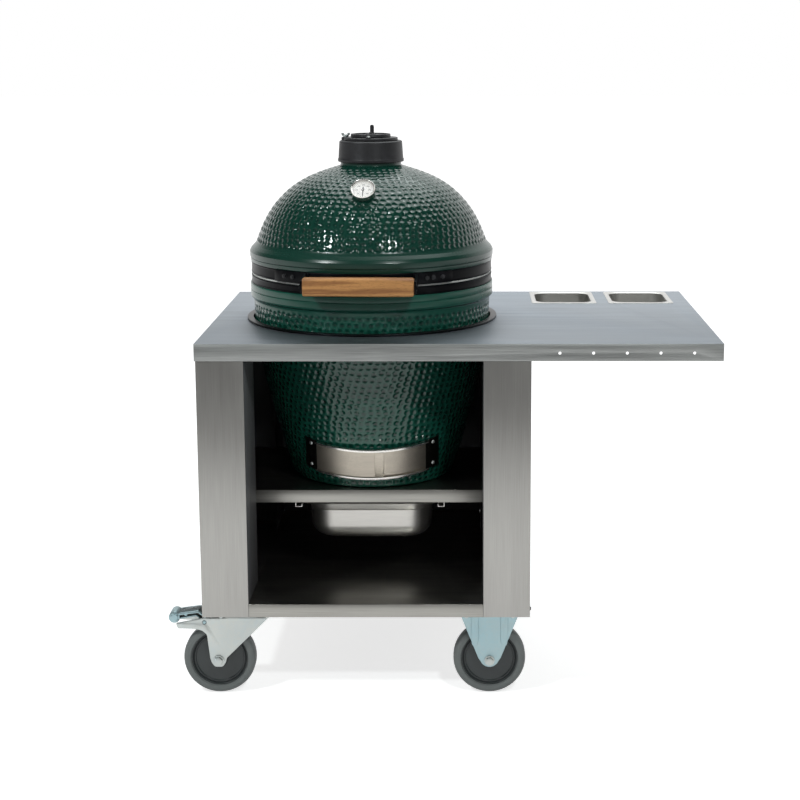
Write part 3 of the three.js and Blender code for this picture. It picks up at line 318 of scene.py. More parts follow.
class DimpleRows:
    """Staggered rows of round dimples, told alike to the shape of a ceramic shell and to its glaze."""

    size = 7.3
    scatter = 2.1
    slope = 1.3
    shallowest = 0.6
    seed = 7.0
    most_in_row = 256.0
    fade = 5.0
    skin = 8.0

    def __init__(self, name: str, curve: Sequence[Point], axis_x: float, pitch: float = 16.4) -> None:
        """Lays out the rows.

        Args:
            name: The rows' name.
            curve: The (radius, height) points that the rows climb, in millimetres.
            axis_x: Where the shell's axis stands, in metres.
            pitch: The spacing of the dimples in a row.
        """
        self.name = name
        self.curve = curve
        self.axis_x = axis_x
        self.runs = [0.0]
        for a, b in zip(curve, curve[1:]):
            self.runs.append(self.runs[-1] + math.dist(a, b))
        self.rows = round(self.runs[-1] / (0.85 * pitch))
        self.rise = self.runs[-1] / self.rows
        middles = resampled(curve, self.rise / 2)[1::2]
        self.counts = [round(2 * math.pi * radius / pitch) for radius, _ in middles]

    def hollow(self, wiring: "Wiring", place: Signal, along: Signal, zone: Signal) -> Signal:
        """How deep the surface dips, from 0 to 1.

        Args:
            wiring: The tree that asks.
            place: The point, in metres.
            along: How many rows it is up the curve.
            zone: How far it may be dimpled at all.

        Returns:
            The share of a full dimple's depth.
        """
        x = (wiring.axis(place, 0) - self.axis_x) / MM
        y = wiring.axis(place, 1) / MM
        radius = (x * x + y * y) ** 0.5
        share = y.angle_with(x) / (2 * math.pi) + 0.5
        line = [((i + 0.5) / self.rows, count / self.most_in_row) for i, count in enumerate(self.counts)]
        deepest = None
        for step in (-1, 0, 1):
            row = along.floor() + step
            count = wiring.node("ShaderNodeFloatCurve", {"line": line}, {"Value": (row + 0.5) / self.rows})
            count = (count * self.most_in_row).nearest()
            spot = share * count + row.remainder(2.0) * 0.5
            cell = {0: spot.floor().remainder(count), 1: row, 2: self.seed}
            chance = {"Vector": wiring.node("ShaderNodeCombineXYZ", {}, cell)}
            dice = wiring.node("ShaderNodeTexWhiteNoise", {"noise_dimensions": "3D"}, chance, "Color")
            luck = [wiring.axis(dice, i) for i in range(3)]
            across = (spot - spot.floor() - 0.5) * (2 * math.pi) * radius / count
            across = across - (luck[0] - 0.5) * self.scatter
            up = (along - row - 0.5) * self.rise - (luck[1] - 0.5) * (2 * self.scatter)
            bowl = (1.0 - (across * across + up * up) / self.size**2).most(0.0) ** self.slope
            dip = bowl * (self.shallowest + luck[2] * (1.0 - self.shallowest))
            deepest = dip if deepest is None else deepest.most(dip)
        return deepest * zone

    def mark(self, shell: Piece, at: Matrix, clear: Callable[[Vector], float]) -> None:
        """Writes each vertex's row and whether it may be dimpled.

        Args:
            shell: The turned shell.
            at: Its frame.
            clear: How far a place, in metres, may be dimpled, from 0 to 1.
        """
        inverse = at.inverted()
        last = len(self.curve) - 1
        alongs, zones = [], []
        for vertex in shell.data.vertices:
            local = inverse @ vertex.co
            k = next((i for i in range(1, last) if self.curve[i][1] >= local.z), last)
            (low_radius, low), (high_radius, high) = self.curve[k - 1], self.curve[k]
            t = max(0.0, min(1.0, (local.z - low) / (high - low)))
            alongs.append((self.runs[k - 1] + (self.runs[k] - self.runs[k - 1]) * t) / self.rise)
            wall = low_radius + (high_radius - low_radius) * t
            ends = min(local.z - self.curve[0][1], self.curve[-1][1] - local.z) / self.fade
            outside = math.hypot(local.x, local.y) > wall - self.skin
            zones.append(max(0.0, min(1.0, ends, clear(vertex.co))) if outside else 0.0)
        for name, values in (("along", alongs), ("zone", zones)):
            shell.data.attributes.new(name, "FLOAT", "POINT").data.foreach_set("value", values)

    def press(self, shell: Piece, finish: Material, depth: float) -> Piece:
        """Presses the dimples into a marked shell with Geometry Nodes.

        Args:
            shell: The shell.
            finish: Its glaze.
            depth: A full dimple's depth in millimetres.

        Returns:
            The same shell.
        """
        recipe = Recipe(f"press_{self.name}", ("Depth",))
        along, zone = (recipe.attribute(name, "FLOAT") for name in ("along", "zone"))
        dip = self.hollow(recipe, recipe.node("GeometryNodeInputPosition"), along, zone)
        inwards = {0: recipe.node("GeometryNodeInputNormal"), "Scale": dip * recipe.given("Depth") * -1.0}
        sunk = recipe.node("ShaderNodeVectorMath", {"operation": "SCALE"}, inwards)
        moved = {"Geometry": recipe.given("Geometry"), "Offset": sunk}
        recipe.end(recipe.node("GeometryNodeSetPosition", {}, moved), finish)
        recipe.run(shell, {"Depth": depth * MM})
        return shade(shell, 50.0)


@dataclass(frozen=True)
class BrushedSteel:
    """Folded stainless sheet with a fine brushed grain, faint smudges and a painted gradient of shade."""

    name: str
    tone: Colour
    grain: Grain = Grain.ALONG_X
    roughness: float = 0.34
    contrast: float = 0.16
    across: float = 900.0
    along: float = 9.0
    # painted shade: how much lighter the sheet is made towards the back and darker towards the front
    fade: float = 0.0
    metal: float = 1.0

    def build(self) -> Material:
        """Makes the material."""
        shader = Shader(self.name)
        scale = tuple(self.along if way else self.across for way in self.grain.value)
        broad = tuple(self.along / 3 if way else self.across / 22 for way in self.grain.value)
        hair = shader.noise(scale, 4.0)
        band = shader.noise(broad, 2.0)
        smudge = shader.noise(7.0, 4.0)
        depth = shader.axis(shader.place, 1)
        # the fade term is painted shade: lighter towards the back, darker towards the front
        share = hair * 0.55 + band * 0.3 + smudge * 0.15 + depth.ease(-0.3, 0.4, -self.fade, self.fade)
        low = tuple(c * (1 - self.contrast) for c in self.tone)
        high = tuple(min(1.0, c * (1 + self.contrast)) for c in self.tone)
        values = {
            "Base Color": shader.blend(low, high, share.ease(0.3, 0.7)),
            "Metallic": self.metal,
            "Roughness": self.roughness - 0.08 + hair * 0.1 + smudge * 0.08,
            "Normal": shader.relief(hair, 0.12, 0.12),
        }
        return shader.finish(values)


@dataclass(frozen=True)
class DimpledGlaze:
    """Deep green glaze, darker in the dimples: partly glaze that pools there, partly painted shade."""

    name: str
    rows: Optional[DimpleRows] = None
    depth: float = 1.8
    ridge: Colour = (0.005, 0.041, 0.028)
    # the dimples' colour: partly pooled glaze, partly painted shade
    pool_and_shade: Colour = (0.002, 0.025, 0.0175)
    roughness: float = 0.035

    def build(self) -> Material:
        """Makes the material."""
        shader = Shader(self.name)
        mottle = shader.noise(28.0, 4.0)
        peel = shader.noise(260.0, 2.0)
        normal = shader.relief(peel, 0.1, 0.3)
        dimple, zone = 0.0, 0.0
        if self.rows is not None:
            along, zone = (
                shader.node("ShaderNodeAttribute", {"attribute_name": name}, out="Fac")
                for name in ("along", "zone")
            )
            dimple = self.rows.hollow(shader, shader.place, along, zone)
            wave = shader.noise(120.0, 1.5)
            normal = shader.relief(wave * zone, 1.0, 0.8, normal)
            normal = shader.relief(1.0 - dimple, 1.0, self.depth, normal)
        speck = shader.noise(1400.0, 1.0).ease(0.68, 0.74)
        # darker in the dimples: partly glaze that pools there, partly painted shade
        glaze = shader.blend(self.ridge, self.pool_and_shade, (dimple * 0.8 + mottle * 0.35).least(1.0))
        values = {
            "Base Color": shader.blend(glaze, tuple(c * 1.6 for c in self.ridge), speck * 0.4),
            "Roughness": self.roughness + mottle * 0.03 + speck * 0.1 + (1.0 - zone) * 0.2,
            "Specular IOR Level": 0.5,
            "Normal": normal,
        }
        return shader.finish(values)


@dataclass(frozen=True)
class ZincPlate:
    """Bright zinc plate with soft spangles and a cold tint."""

    name: str
    tone: Colour = (0.45, 0.495, 0.50)
    warm: Colour = (0.58, 0.57, 0.52)
    roughness: float = 0.32

    def build(self) -> Material:
        """Makes the material."""
        shader = Shader(self.name)
        spangle = shader.node("ShaderNodeTexVoronoi", {}, {"Vector": shader.place, "Scale": 170.0}, "Color")
        cell = shader.node("ShaderNodeSeparateColor", {}, {"Color": spangle}, 0)
        cloud = shader.noise(22.0, 4.0)
        scratch = shader.noise((60.0, 60.0, 900.0), 2.0)
        values = {
            "Base Color": shader.blend(self.tone, self.warm, (cloud * 0.9 + cell * 0.25 - 0.25).most(0.0)),
            "Metallic": 0.92,
            "Roughness": self.roughness + cell * 0.1 + scratch * 0.08,
            "Normal": shader.relief(cell * 0.4 + scratch * 0.6, 0.08, 0.2),
        }
        return shader.finish(values)


@dataclass(frozen=True)
class BlackCoat:
    """Black coating on steel or cast iron, from smooth to sandy."""

    name: str
    tone: Colour = (0.012, 0.012, 0.014)
    roughness: float = 0.36
    grit: float = 900.0
    depth: float = 0.15
    strength: float = 0.2
    gloss: float = 0.5

    def build(self) -> Material:
        """Makes the material."""
        shader = Shader(self.name)
        sand = shader.noise(self.grit, 3.0)
        wear = shader.noise(30.0, 4.0)
        light = tuple(min(1.0, c * 2.4 + 0.004) for c in self.tone)
        values = {
            "Base Color": shader.blend(self.tone, light, wear.ease(0.45, 0.8)),
            "Roughness": self.roughness + wear * 0.12,
            "Specular IOR Level": self.gloss,
            "Normal": shader.relief(sand, self.strength, self.depth),
        }
        return shader.finish(values)


@dataclass(frozen=True)
class OiledWood:
    """Oiled hardwood with its grain along the bar."""

    name: str
    dark: Colour = (0.10, 0.036, 0.01)
    middle: Colour = (0.30, 0.125, 0.037)
    light: Colour = (0.56, 0.27, 0.088)

    def build(self) -> Material:
        """Makes the material."""
        shader = Shader(self.name)
        wander = shader.noise((4.0, 16.0, 16.0), 2.0)
        rings = (shader.noise((1.6, 42.0, 42.0), 2.0) * 26.0 + wander * 9.0).sine() * 0.5 + 0.5
        pores = shader.noise((60.0, 1500.0, 1500.0), 2.0).ease(0.56, 0.72)
        fibre = shader.noise((12.0, 420.0, 420.0), 3.0)
        stops = [(0.0, self.dark), (0.35, self.middle), (0.8, self.light), (1.0, self.middle)]
        share = rings * 0.45 + fibre * 0.35 + wander * 0.25
        tone = shader.node("ShaderNodeValToRGB", {"stops": stops}, {"Fac": share})
        values = {
            "Base Color": shader.blend(tone, self.dark, pores * 0.7),
            "Roughness": 0.42 + pores * 0.25 + fibre * 0.08,
            "Normal": shader.relief(pores * 0.7 + fibre * 0.3, 0.25, 0.15),
        }
        return shader.finish(values)


@dataclass(frozen=True)
class Rough:
    """A dull mineral, fibre, rubber or plastic surface."""

    name: str
    low: Colour
    high: Colour
    grain: float = 300.0
    roughness: float = 0.8
    strength: float = 0.3
    depth: float = 0.4

    def build(self) -> Material:
        """Makes the material."""
        shader = Shader(self.name)
        fine = shader.noise(self.grain, 4.0)
        cloud = shader.noise(self.grain / 12, 3.0)
        values = {
            "Base Color": shader.blend(self.low, self.high, fine * 0.5 + cloud * 0.5),
            "Roughness": self.roughness - 0.06 + cloud * 0.12,
            "Normal": shader.relief(fine, self.strength, self.depth),
        }
        return shader.finish(values)


@dataclass(frozen=True)
class ClearGlass:
    """The thermometer's glass, with a breath of smudge."""

    name: str

    def build(self) -> Material:
        """Makes the material."""
        shader = Shader(self.name)
        smudge = shader.noise(120.0, 3.0)
        values = {
            "Base Color": WHITE,
            "Roughness": smudge.ease(0.5, 0.8, 0.0, 0.06),
            "Transmission Weight": 1.0,
            "IOR": 1.2,
        }
        return shader.finish(values)


class Finishes:
    """Every finish of the table, made once."""

    def __init__(self) -> None:
        """Builds the materials."""
        steel = (0.352, 0.342, 0.326)
        along, up = Grain.ALONG_X, Grain.ALONG_Z
        # the worktop's fade paints shade into its colour: lighter towards the back, darker towards the front
        self.top = BrushedSteel("steel_top", (0.262, 0.29, 0.322), along, 0.46, 0.2, fade=0.16).build()
        self.lip = BrushedSteel("steel_lip", (0.305, 0.31, 0.304), along, 0.5, 0.3).build()
        self.column = BrushedSteel("steel_column", steel, up, 0.36, 0.1).build()
        self.shelf = BrushedSteel("steel_shelf", (0.32, 0.31, 0.288), along, 0.32).build()
        # painted shade: a dark, non-metallic copy of the steel for the cabinet's inner faces, where shade
        # falls
        self.inside = BrushedSteel("steel_painted_shade", (0.115, 0.115, 0.12), up, 0.5, metal=0.0).build()
        self.pan = BrushedSteel("steel_pan", (0.80, 0.772, 0.735), along, 0.34, 0.06, 700.0, 20.0).build()
        self.insert = BrushedSteel("steel_insert", (0.60, 0.59, 0.57), along, 0.38, 0.08, 700.0, 20.0).build()
        self.door = BrushedSteel("steel_door", (0.44, 0.395, 0.338), along, 0.38, 0.14, 1100.0, 8.0).build()
        self.bright = BrushedSteel("steel_bright", (0.74, 0.72, 0.69), along, 0.2, 0.08).build()
        self.dark = BrushedSteel("steel_dark", (0.06, 0.055, 0.05), along, 0.34, 0.2).build()
        self.trim = BrushedSteel("steel_trim", (0.016, 0.017, 0.019), along, 0.34).build()
        self.glaze = DimpledGlaze("green_glaze").build()
        self.zinc = ZincPlate("zinc_plate").build()
        self.blue_zinc = ZincPlate("zinc_blue", (0.31, 0.44, 0.478), (0.405, 0.48, 0.48)).build()
        self.coat = BlackCoat("black_coat", (0.003, 0.003, 0.004), 0.26, gloss=0.08).build()
        self.iron = BlackCoat("cast_iron", (0.008, 0.008, 0.01), 0.42, 420.0, 0.5, 0.4).build()
        self.wood = OiledWood("oiled_wood").build()
        self.felt = Rough("felt", (0.55, 0.55, 0.53), (0.8, 0.8, 0.77), 1300.0, 0.95, 0.6, 0.6).build()
        self.clay = Rough("fireclay", (0.33, 0.26, 0.19), (0.55, 0.47, 0.37), 260.0, 0.9).build()
        rubber = (0.143, 0.155, 0.153), (0.205, 0.22, 0.216)
        self.tyre = Rough("grey_rubber", *rubber, 700.0, 0.6, 0.15, 0.2).build()
        plastic = (0.023, 0.028, 0.029), (0.04, 0.046, 0.047)
        self.core = Rough("dark_plastic", *plastic, 500.0, 0.38, 0.1, 0.2).build()
        self.dial = Rough("dial_white", (0.72, 0.71, 0.69), (0.82, 0.81, 0.79), 900.0, 0.5, 0.05, 0.1).build()
        self.ink = Rough("dial_ink", (0.01, 0.01, 0.01), (0.03, 0.03, 0.03), 900.0, 0.5, 0.05, 0.1).build()
        self.glass = ClearGlass("clear_glass").build()


def linked(name: str, data: bpy.types.ID) -> Piece:
    """Makes an object of some data and links it to the scene."""
    made = bpy.data.objects.new(name, data)
    bpy.context.scene.collection.objects.link(made)
    return made


def plain_mesh(piece: Piece) -> bpy.types.Mesh:
    """The mesh that a curve, a text or a piece with modifiers makes."""
    graph = bpy.context.evaluated_depsgraph_get()
    return bpy.data.meshes.new_from_object(piece.evaluated_get(graph), depsgraph=graph)


def spent(piece: Piece) -> bpy.types.Mesh:
    """The mesh that a curve or a text makes, once its object is removed."""
    mesh = plain_mesh(piece)
    bpy.data.objects.remove(piece)
    return mesh


def poly_object(
    name: str, points: Iterable, faces: Iterable, at: Matrix, clean: bool = True
) -> Piece:
    """Makes a mesh object from points in millimetres, with its place in its mesh.

    Args:
        name: The object's name.
        points: The corners.
        faces: The faces, as corner numbers.
        at: Where the corners go, from millimetres to the table's metres.
        clean: Whether doubles are merged and the faces turned outwards.

    Returns:
        The object, at the origin.
    """
    mesh = bpy.data.meshes.new(name)
    mesh.from_pydata([tuple(p) for p in points], [], [tuple(f) for f in faces])
    if clean:
        body = bmesh.new()
        body.from_mesh(mesh)
        bmesh.ops.remove_doubles(body, verts=body.verts, dist=0.002)
        bmesh.ops.dissolve_degenerate(body, edges=body.edges, dist=0.001)
        bmesh.ops.recalc_face_normals(body, faces=body.faces)
        body.to_mesh(mesh)
        body.free()
    mesh.transform(at)
    return linked(name, mesh)


def shade(piece: Piece, angle: float = 32.0) -> Piece:
    """Shades a piece smooth except over edges sharper than an angle in degrees."""
    piece.data.polygons.foreach_set("use_smooth", [True] * len(piece.data.polygons))
    piece.data.set_sharp_from_angle(angle=math.radians(angle))
    return piece


def settle(piece: Piece) -> Piece:
    """Turns a piece's modifiers into plain mesh and removes them."""
    mesh = plain_mesh(piece)
    piece.modifiers.clear()
    piece.data = mesh
    return piece


def soften(piece: Piece, width: float, steps: int = 2, angle: float = 30.0) -> Piece:
    """Rounds the edges of a piece.

    Args:
        piece: The piece.
        width: The width of the rounding in millimetres.
        steps: How many faces it has across.
        angle: The least angle in degrees that is rounded.

    Returns:
        The same piece, as plain mesh.
    """
    bevel = piece.modifiers.new("round", "BEVEL")
    bevel.width = width * MM
    bevel.segments = steps
    bevel.limit_method = "ANGLE"
    bevel.angle_limit = math.radians(angle)
    bevel.use_clamp_overlap = True
    bevel.miter_outer = "MITER_ARC"
    return shade(settle(piece))


def dress(piece: Piece, finish: Material) -> Piece:
    """Gives a piece one finish."""
    piece.data.materials.clear()
    piece.data.materials.append(finish)
    return piece


def stand_for(
    piece: Piece, node: str, finish: Material
) -> Piece:
    """Lets a piece replace a CAD node, with one finish."""
    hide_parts(node)
    return dress(piece, finish)


def line_inside(shell: Piece, middle: Vector, finish: Material) -> None:
    """Gives the faces of a hollow shell that look towards its middle another finish.

    Args:
        shell: The shell, with one finish.
        middle: A point in its hollow, in metres.
        finish: The finish of its inside.
    """
    least_facing = 0.25
    shell.data.materials.append(finish)
    for face in shell.data.polygons:
        if (middle - face.center).normalized().dot(face.normal) > least_facing:
            face.material_index = 1


def rounded(points: Sequence[tuple], radius: float, steps: int = 4) -> list[Point]:
    """Rounds the inner corners of an outline.

    Args:
        points: The corners. A third number in one is its own radius.
        radius: The radius of the other corners.
        steps: How many points each rounding has, less one.

    Returns:
        The outline with its first and last points kept.
    """
    made: list[Point] = [tuple(points[0][:2])]
    for before, corner, after in zip(points, points[1:], points[2:]):
        here = Vector(corner[:2])
        back, ahead = Vector(before[:2]) - here, Vector(after[:2]) - here
        reach = corner[2] if len(corner) > 2 else radius
        if reach <= 0 or back.length < 1e-6 or ahead.length < 1e-6:
            made.append(tuple(here))
            continue
        half = back.angle(ahead) / 2
        run = min(reach / max(math.tan(half), 1e-3), back.length * 0.48, ahead.length * 0.48)
        start, end = here + back.normalized() * run, here + ahead.normalized() * run
        for i in range(steps + 1):
            t = i / steps
            made.append(tuple(start * (1 - t) ** 2 + here * 2 * t * (1 - t) + end * t**2))
    made.append(tuple(points[-1][:2]))
    return made


def rounded_loop(points: Sequence[tuple], radius: float, steps: int = 4) -> list[Point]:
    """Rounds every corner of a closed outline."""
    looped = [points[-1], *points, points[0]]
    return rounded(looped, radius, steps)[1:-1]


def resampled(outline: Sequence[Point], pitch: float) -> list[Point]:
    """Points at an even spacing along an outline, with both ends kept."""
    runs = [math.dist(a, b) for a, b in zip(outline, outline[1:])]
    total = sum(runs)
    count = max(1, round(total / pitch))
    made = []
    for i in range(count + 1):
        left = total * i / count
        for (a, b), run in zip(zip(outline, outline[1:]), runs):
            if left <= run or b is outline[-1]:
                t = min(1.0, left / run) if run else 0.0
                made.append((a[0] + (b[0] - a[0]) * t, a[1] + (b[1] - a[1]) * t))
                break
            left -= run
    return made

def between(a: float, b: float, c: float, d: float, t: float) -> float:
    """The value at share t between b and c, on a smooth curve through four values."""
    square, cube = 2 * a - 5 * b + 4 * c - d, 3 * b - a - 3 * c + d
    return 0.5 * (2 * b + (c - a) * t + square * t**2 + cube * t**3)


def smooth_curve(knots: Sequence[Point], count: int = 24) -> list[Point]:
    """A smooth curve through knots, with count points between each pair."""
    made = []
    for i in range(len(knots) - 1):
        near = [knots[min(max(i + k, 0), len(knots) - 1)] for k in (-1, 0, 1, 2)]
        for k in range(count):
            made.append(tuple(between(*places, k / count) for places in zip(*near)))
    made.append(tuple(knots[-1]))
    return made


def turned(
    name: str, outline: Sequence[Point], at: Matrix, segments: int = 128, ring: bool = False
) -> Piece:
    """Turns an outline of (radius, height) points round its axis.

    Args:
        name: The object's name.
        outline: The points, from axis to axis, or all round a ring's section.
        at: Where the piece goes.
        segments: How many steps it has round the axis.
        ring: Whether the outline closes on itself.

    Returns:
        The closed body.
    """
    points: list[tuple[float, float, float]] = []
    rows: list[list[int]] = []
    for radius, height in outline:
        start = len(points)
        count = segments if radius > 1e-4 else 1
        for i in range(count):
            angle = 2 * math.pi * i / segments
            points.append((radius * math.cos(angle), radius * math.sin(angle), height))
        rows.append(list(range(start, start + count)))
    pairs = list(zip(rows, rows[1:]))
    if ring:
        pairs.append((rows[-1], rows[0]))
    faces = []
    for low, high in pairs:
        for i in range(segments):
            j = (i + 1) % segments
            if len(low) > 1 and len(high) > 1:
                faces.append((low[i], low[j], high[j], high[i]))
            elif len(low) > 1:
                faces.append((low[i], low[j], high[0]))
            elif len(high) > 1:
                faces.append((low[0], high[j], high[i]))
    return poly_object(name, points, faces, at)


def lofted(name: str, loops: Sequence[Sequence[tuple]], at: Matrix) -> Piece:
    """Joins loops of equally many points into one closed body.

    Args:
        name: The object's name.
        loops: The loops, from one capped end to the other.
        at: Where the piece goes.

    Returns:
        The closed body.
    """
    count = len(loops[0])
    points = [p for loop in loops for p in loop]
    faces = [tuple(range(count)), tuple(range((len(loops) - 1) * count, len(loops) * count))]
    for i in range(len(loops) - 1):
        for j in range(count):
            k = (j + 1) % count
            a, b = i * count, (i + 1) * count
            faces.append((a + j, a + k, b + k, b + j))
    return poly_object(name, points, faces, at)


def cut_sheet(
    name: str,
    outline: Sequence[tuple],
    holes: Sequence[Sequence[tuple]],
    low: float,
    high: float,
    at: Matrix,
    edge: float = 0.0,
) -> Piece:
    """Makes a flat plate with holes from outlines in a plane.

    Args:
        name: The object's name.
        outline: The outer outline.
        holes: The outlines of the holes.
        low: Where the plate starts across the plane.
        high: Where it ends.
        at: Where the plane goes.
        edge: How far its edges are rounded.

    Returns:
        The closed plate.
    """
    curve = bpy.data.curves.new(name, "CURVE")
    curve.dimensions = "2D"
    curve.fill_mode = "BOTH"
    curve.extrude = (high - low) / 2 - edge
    curve.bevel_depth = edge
    curve.bevel_resolution = 1
    curve.offset = -edge
    for loop in (outline, *holes):
        spline = curve.splines.new("POLY")
        spline.points.add(len(loop) - 1)
        for point, corner in zip(spline.points, loop):
            point.co = (*corner[:2], 0.0, 1.0)
        spline.use_cyclic_u = True
    mesh = spent(linked(name, curve))
    points = [(v.co.x, v.co.y, v.co.z + (low + high) / 2) for v in mesh.vertices]
    faces = [tuple(p.vertices) for p in mesh.polygons]
    bpy.data.curves.remove(curve)
    bpy.data.meshes.remove(mesh)
    return shade(poly_object(name, points, faces, at), 28.0)


def circle(x: float, y: float, radius: float, steps: int = 32) -> list[Point]:
    """The points of a circle."""
    turns = [2 * math.pi * i / steps for i in range(steps)]
    return [(x + radius * math.cos(t), y + radius * math.sin(t)) for t in turns]


def hexagon(radius: float, turn: float = 0.0) -> list[Point]:
    """The corners of a hexagon."""
    angles = [math.pi * i / 3 + turn for i in range(6)]
    return [(radius * math.cos(a), radius * math.sin(a)) for a in angles]


def shifted(points: Iterable[tuple], x: float, y: float) -> list[tuple]:
    """An outline moved in its plane, with what else its points hold."""
    return [(x + point[0], y + point[1], *point[2:]) for point in points]


def both_halves(half: Sequence[tuple]) -> list[tuple]:
    """A half section and its mirror image across height 0, in one outline."""
    return [*half, *[(point[0], -point[1], *point[2:]) for point in reversed(half)]]


def round_place(at: Matrix, degrees: float, radius: float, height: float) -> tuple[Vector, Vector]:
    """A place round the axis of a frame, with the direction that points outwards there."""
    turn = math.radians(degrees)
    out = Vector((math.sin(turn), -math.cos(turn), 0))
    return at @ (out * radius + Vector((0, 0, height))), (at.to_3x3() @ out).normalized()


def middle_of(node: str) -> Vector:
    """The middle of a CAD node's box."""
    low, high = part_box(node)
    return (low + high) / 2


def round_box(length: float, depth: float, corner: float, height: float, steps: int = 8) -> list[tuple]:
    """The points of a rectangle with round corners at a height, centred on the axis."""
    points = []
    corner = min(corner, length / 2 - 0.01, depth / 2 - 0.01)
    for quarter, (sx, sy) in enumerate([(1, 1), (-1, 1), (-1, -1), (1, -1)]):
        for i in range(steps + 1):
            angle = math.pi / 2 * (quarter + i / steps)
            x = sx * (length / 2 - corner) + corner * math.cos(angle)
            y = sy * (depth / 2 - corner) + corner * math.sin(angle)
            points.append((x, y, height))
    return points


def bent_sheet(
    name: str,
    radii: Point,
    angles: Sequence[float],
    heights: Sequence[float],
    filled: Callable[[float, float], bool],
    at: Matrix,
) -> Piece:
    """Makes a sheet bent round an axis, with cut-outs.

    Args:
        name: The object's name.
        radii: Its inner and outer radius.
        angles: Its steps round the axis, in degrees from the front.
        heights: Its steps along the axis.
        filled: Whether there is sheet at an angle and a height.
        at: Where the piece goes.

    Returns:
        The closed sheet.
    """
    points: list[tuple] = []
    for radius in radii:
        for height in heights:
            for angle in angles:
                turn = math.radians(angle)
                points.append((radius * math.sin(turn), -radius * math.cos(turn), height))
    across, rows = len(angles), len(heights)
    layer = across * rows

    def solid(i: int, j: int) -> bool:
        """Whether the cell at column i and row j holds sheet."""
        if not (0 <= i < across - 1 and 0 <= j < rows - 1):
            return False
        return filled((angles[i] + angles[i + 1]) / 2, (heights[j] + heights[j + 1]) / 2)

    faces = []
    for j in range(rows - 1):
        for i in range(across - 1):
            if not solid(i, j):
                continue
            a = j * across + i
            b, c, d = a + 1, a + across + 1, a + across
            faces += [(a, b, c, d), (a + layer, d + layer, c + layer, b + layer)]
            sides = {(i, j - 1): (a, b), (i + 1, j): (b, c), (i, j + 1): (c, d), (i - 1, j): (d, a)}
            for cell, (p, q) in sides.items():
                if not solid(*cell):
                    faces.append((p, q, q + layer, p + layer))
    used = sorted({p for face in faces for p in face})
    place = {p: k for k, p in enumerate(used)}
    return poly_object(name, [points[p] for p in used], [[place[p] for p in f] for f in faces], at)


def even_steps(low: float, high: float, count: int, *extra: float) -> list[float]:
    """Even steps from low to high, with some extra places among them."""
    places = {round(low + (high - low) * i / count, 6) for i in range(count + 1)}
    return sorted(places | {round(e, 6) for e in extra})


def refined(node: str, name: str, width: float, count: int = 2) -> Piece:
    """A copy of a CAD node with its facets joined and its edges rounded.

    Args:
        node: The CAD node.
        name: The new piece's name.
        width: The rounding in millimetres.
        count: How many faces the rounding has across.

    Returns:
        The piece, which replaces the node.
    """
    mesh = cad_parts[node].data.copy()
    mesh.materials.clear()
    body = bmesh.new()
    body.from_mesh(mesh)
    bmesh.ops.remove_doubles(body, verts=body.verts, dist=1e-5)
    bmesh.ops.dissolve_limit(body, angle_limit=math.radians(0.6), verts=body.verts, edges=body.edges)
    body.to_mesh(mesh)
    body.free()
    made = linked(name, mesh)
    soften(made, width, count)
    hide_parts(node)
    return made


def joined(name: str, parts: Sequence[Piece]) -> Piece:
    """Joins several pieces into one.

    Args:
        name: The joined piece's name.
        parts: The pieces, which are used up.

    Returns:
        The joined piece.
    """
    body = bmesh.new()
    finishes: list[Material] = []
    for part in parts:
        numbers = []
        for finish in part.data.materials:
            if finish not in finishes:
                finishes.append(finish)
            numbers.append(finishes.index(finish))
        start = len(body.faces)
        body.from_mesh(part.data)
        body.faces.ensure_lookup_table()
        for face in body.faces[start:]:
            face.material_index = numbers[face.material_index] if numbers else 0
    mesh = bpy.data.meshes.new(name)
    body.to_mesh(mesh)
    body.free()
    for finish in finishes:
        mesh.materials.append(finish)
    for part in parts:
        bpy.data.objects.remove(part)
    return shade(linked(name, mesh))


class Recipe(Wiring):
    """A Geometry Nodes tree with named inputs, whose result becomes plain mesh."""

    def __init__(self, name: str, numbers: Sequence[str], **others: str) -> None:
        """Makes the tree and its inputs.

        Args:
            name: The tree's name.
            numbers: The names of the inputs that are plain numbers.
            others: The other inputs' names and socket types.
        """
        tree = bpy.data.node_groups.new(name, "GeometryNodeTree")
        super().__init__(tree)
        for way in ("INPUT", "OUTPUT"):
            tree.interface.new_socket("Geometry", in_out=way, socket_type="NodeSocketGeometry")
        self.keys = {}
        for size, kind in {**dict.fromkeys(numbers, "NodeSocketFloat"), **others}.items():
            self.keys[size] = tree.interface.new_socket(size, in_out="INPUT", socket_type=kind).identifier
        self.entry = tree.nodes.new("NodeGroupInput")

    def given(self, name: str) -> Signal:
        """One of the tree's inputs."""
        return Signal(self, self.entry.outputs[name])

    def attribute(self, name: str, kind: str) -> Signal:
        """A named value that each point carries."""
        return self.node("GeometryNodeInputNamedAttribute", {"data_type": kind}, {"Name": name})

    def end(self, geometry: Signal, finish: Material) -> None:
        """Ends the tree in real geometry with its finish."""
        real = self.node("GeometryNodeRealizeInstances", {}, {"Geometry": geometry})
        dressed = self.node("GeometryNodeSetMaterial", {}, {"Geometry": real, "Material": finish})
        self.node("NodeGroupOutput", {}, {"Geometry": dressed})

    def run(self, piece: Piece, values: dict) -> Piece:
        """Runs the tree on a piece and keeps the result as plain mesh.

        Args:
            piece: The piece that the tree starts from.
            values: What each input gets.

        Returns:
            The same piece.
        """
        modifier = piece.modifiers.new(self.tree.name, "NODES")
        modifier.node_group = self.tree
        for name, value in values.items():
            modifier[self.keys[name]] = value
        return settle(piece)


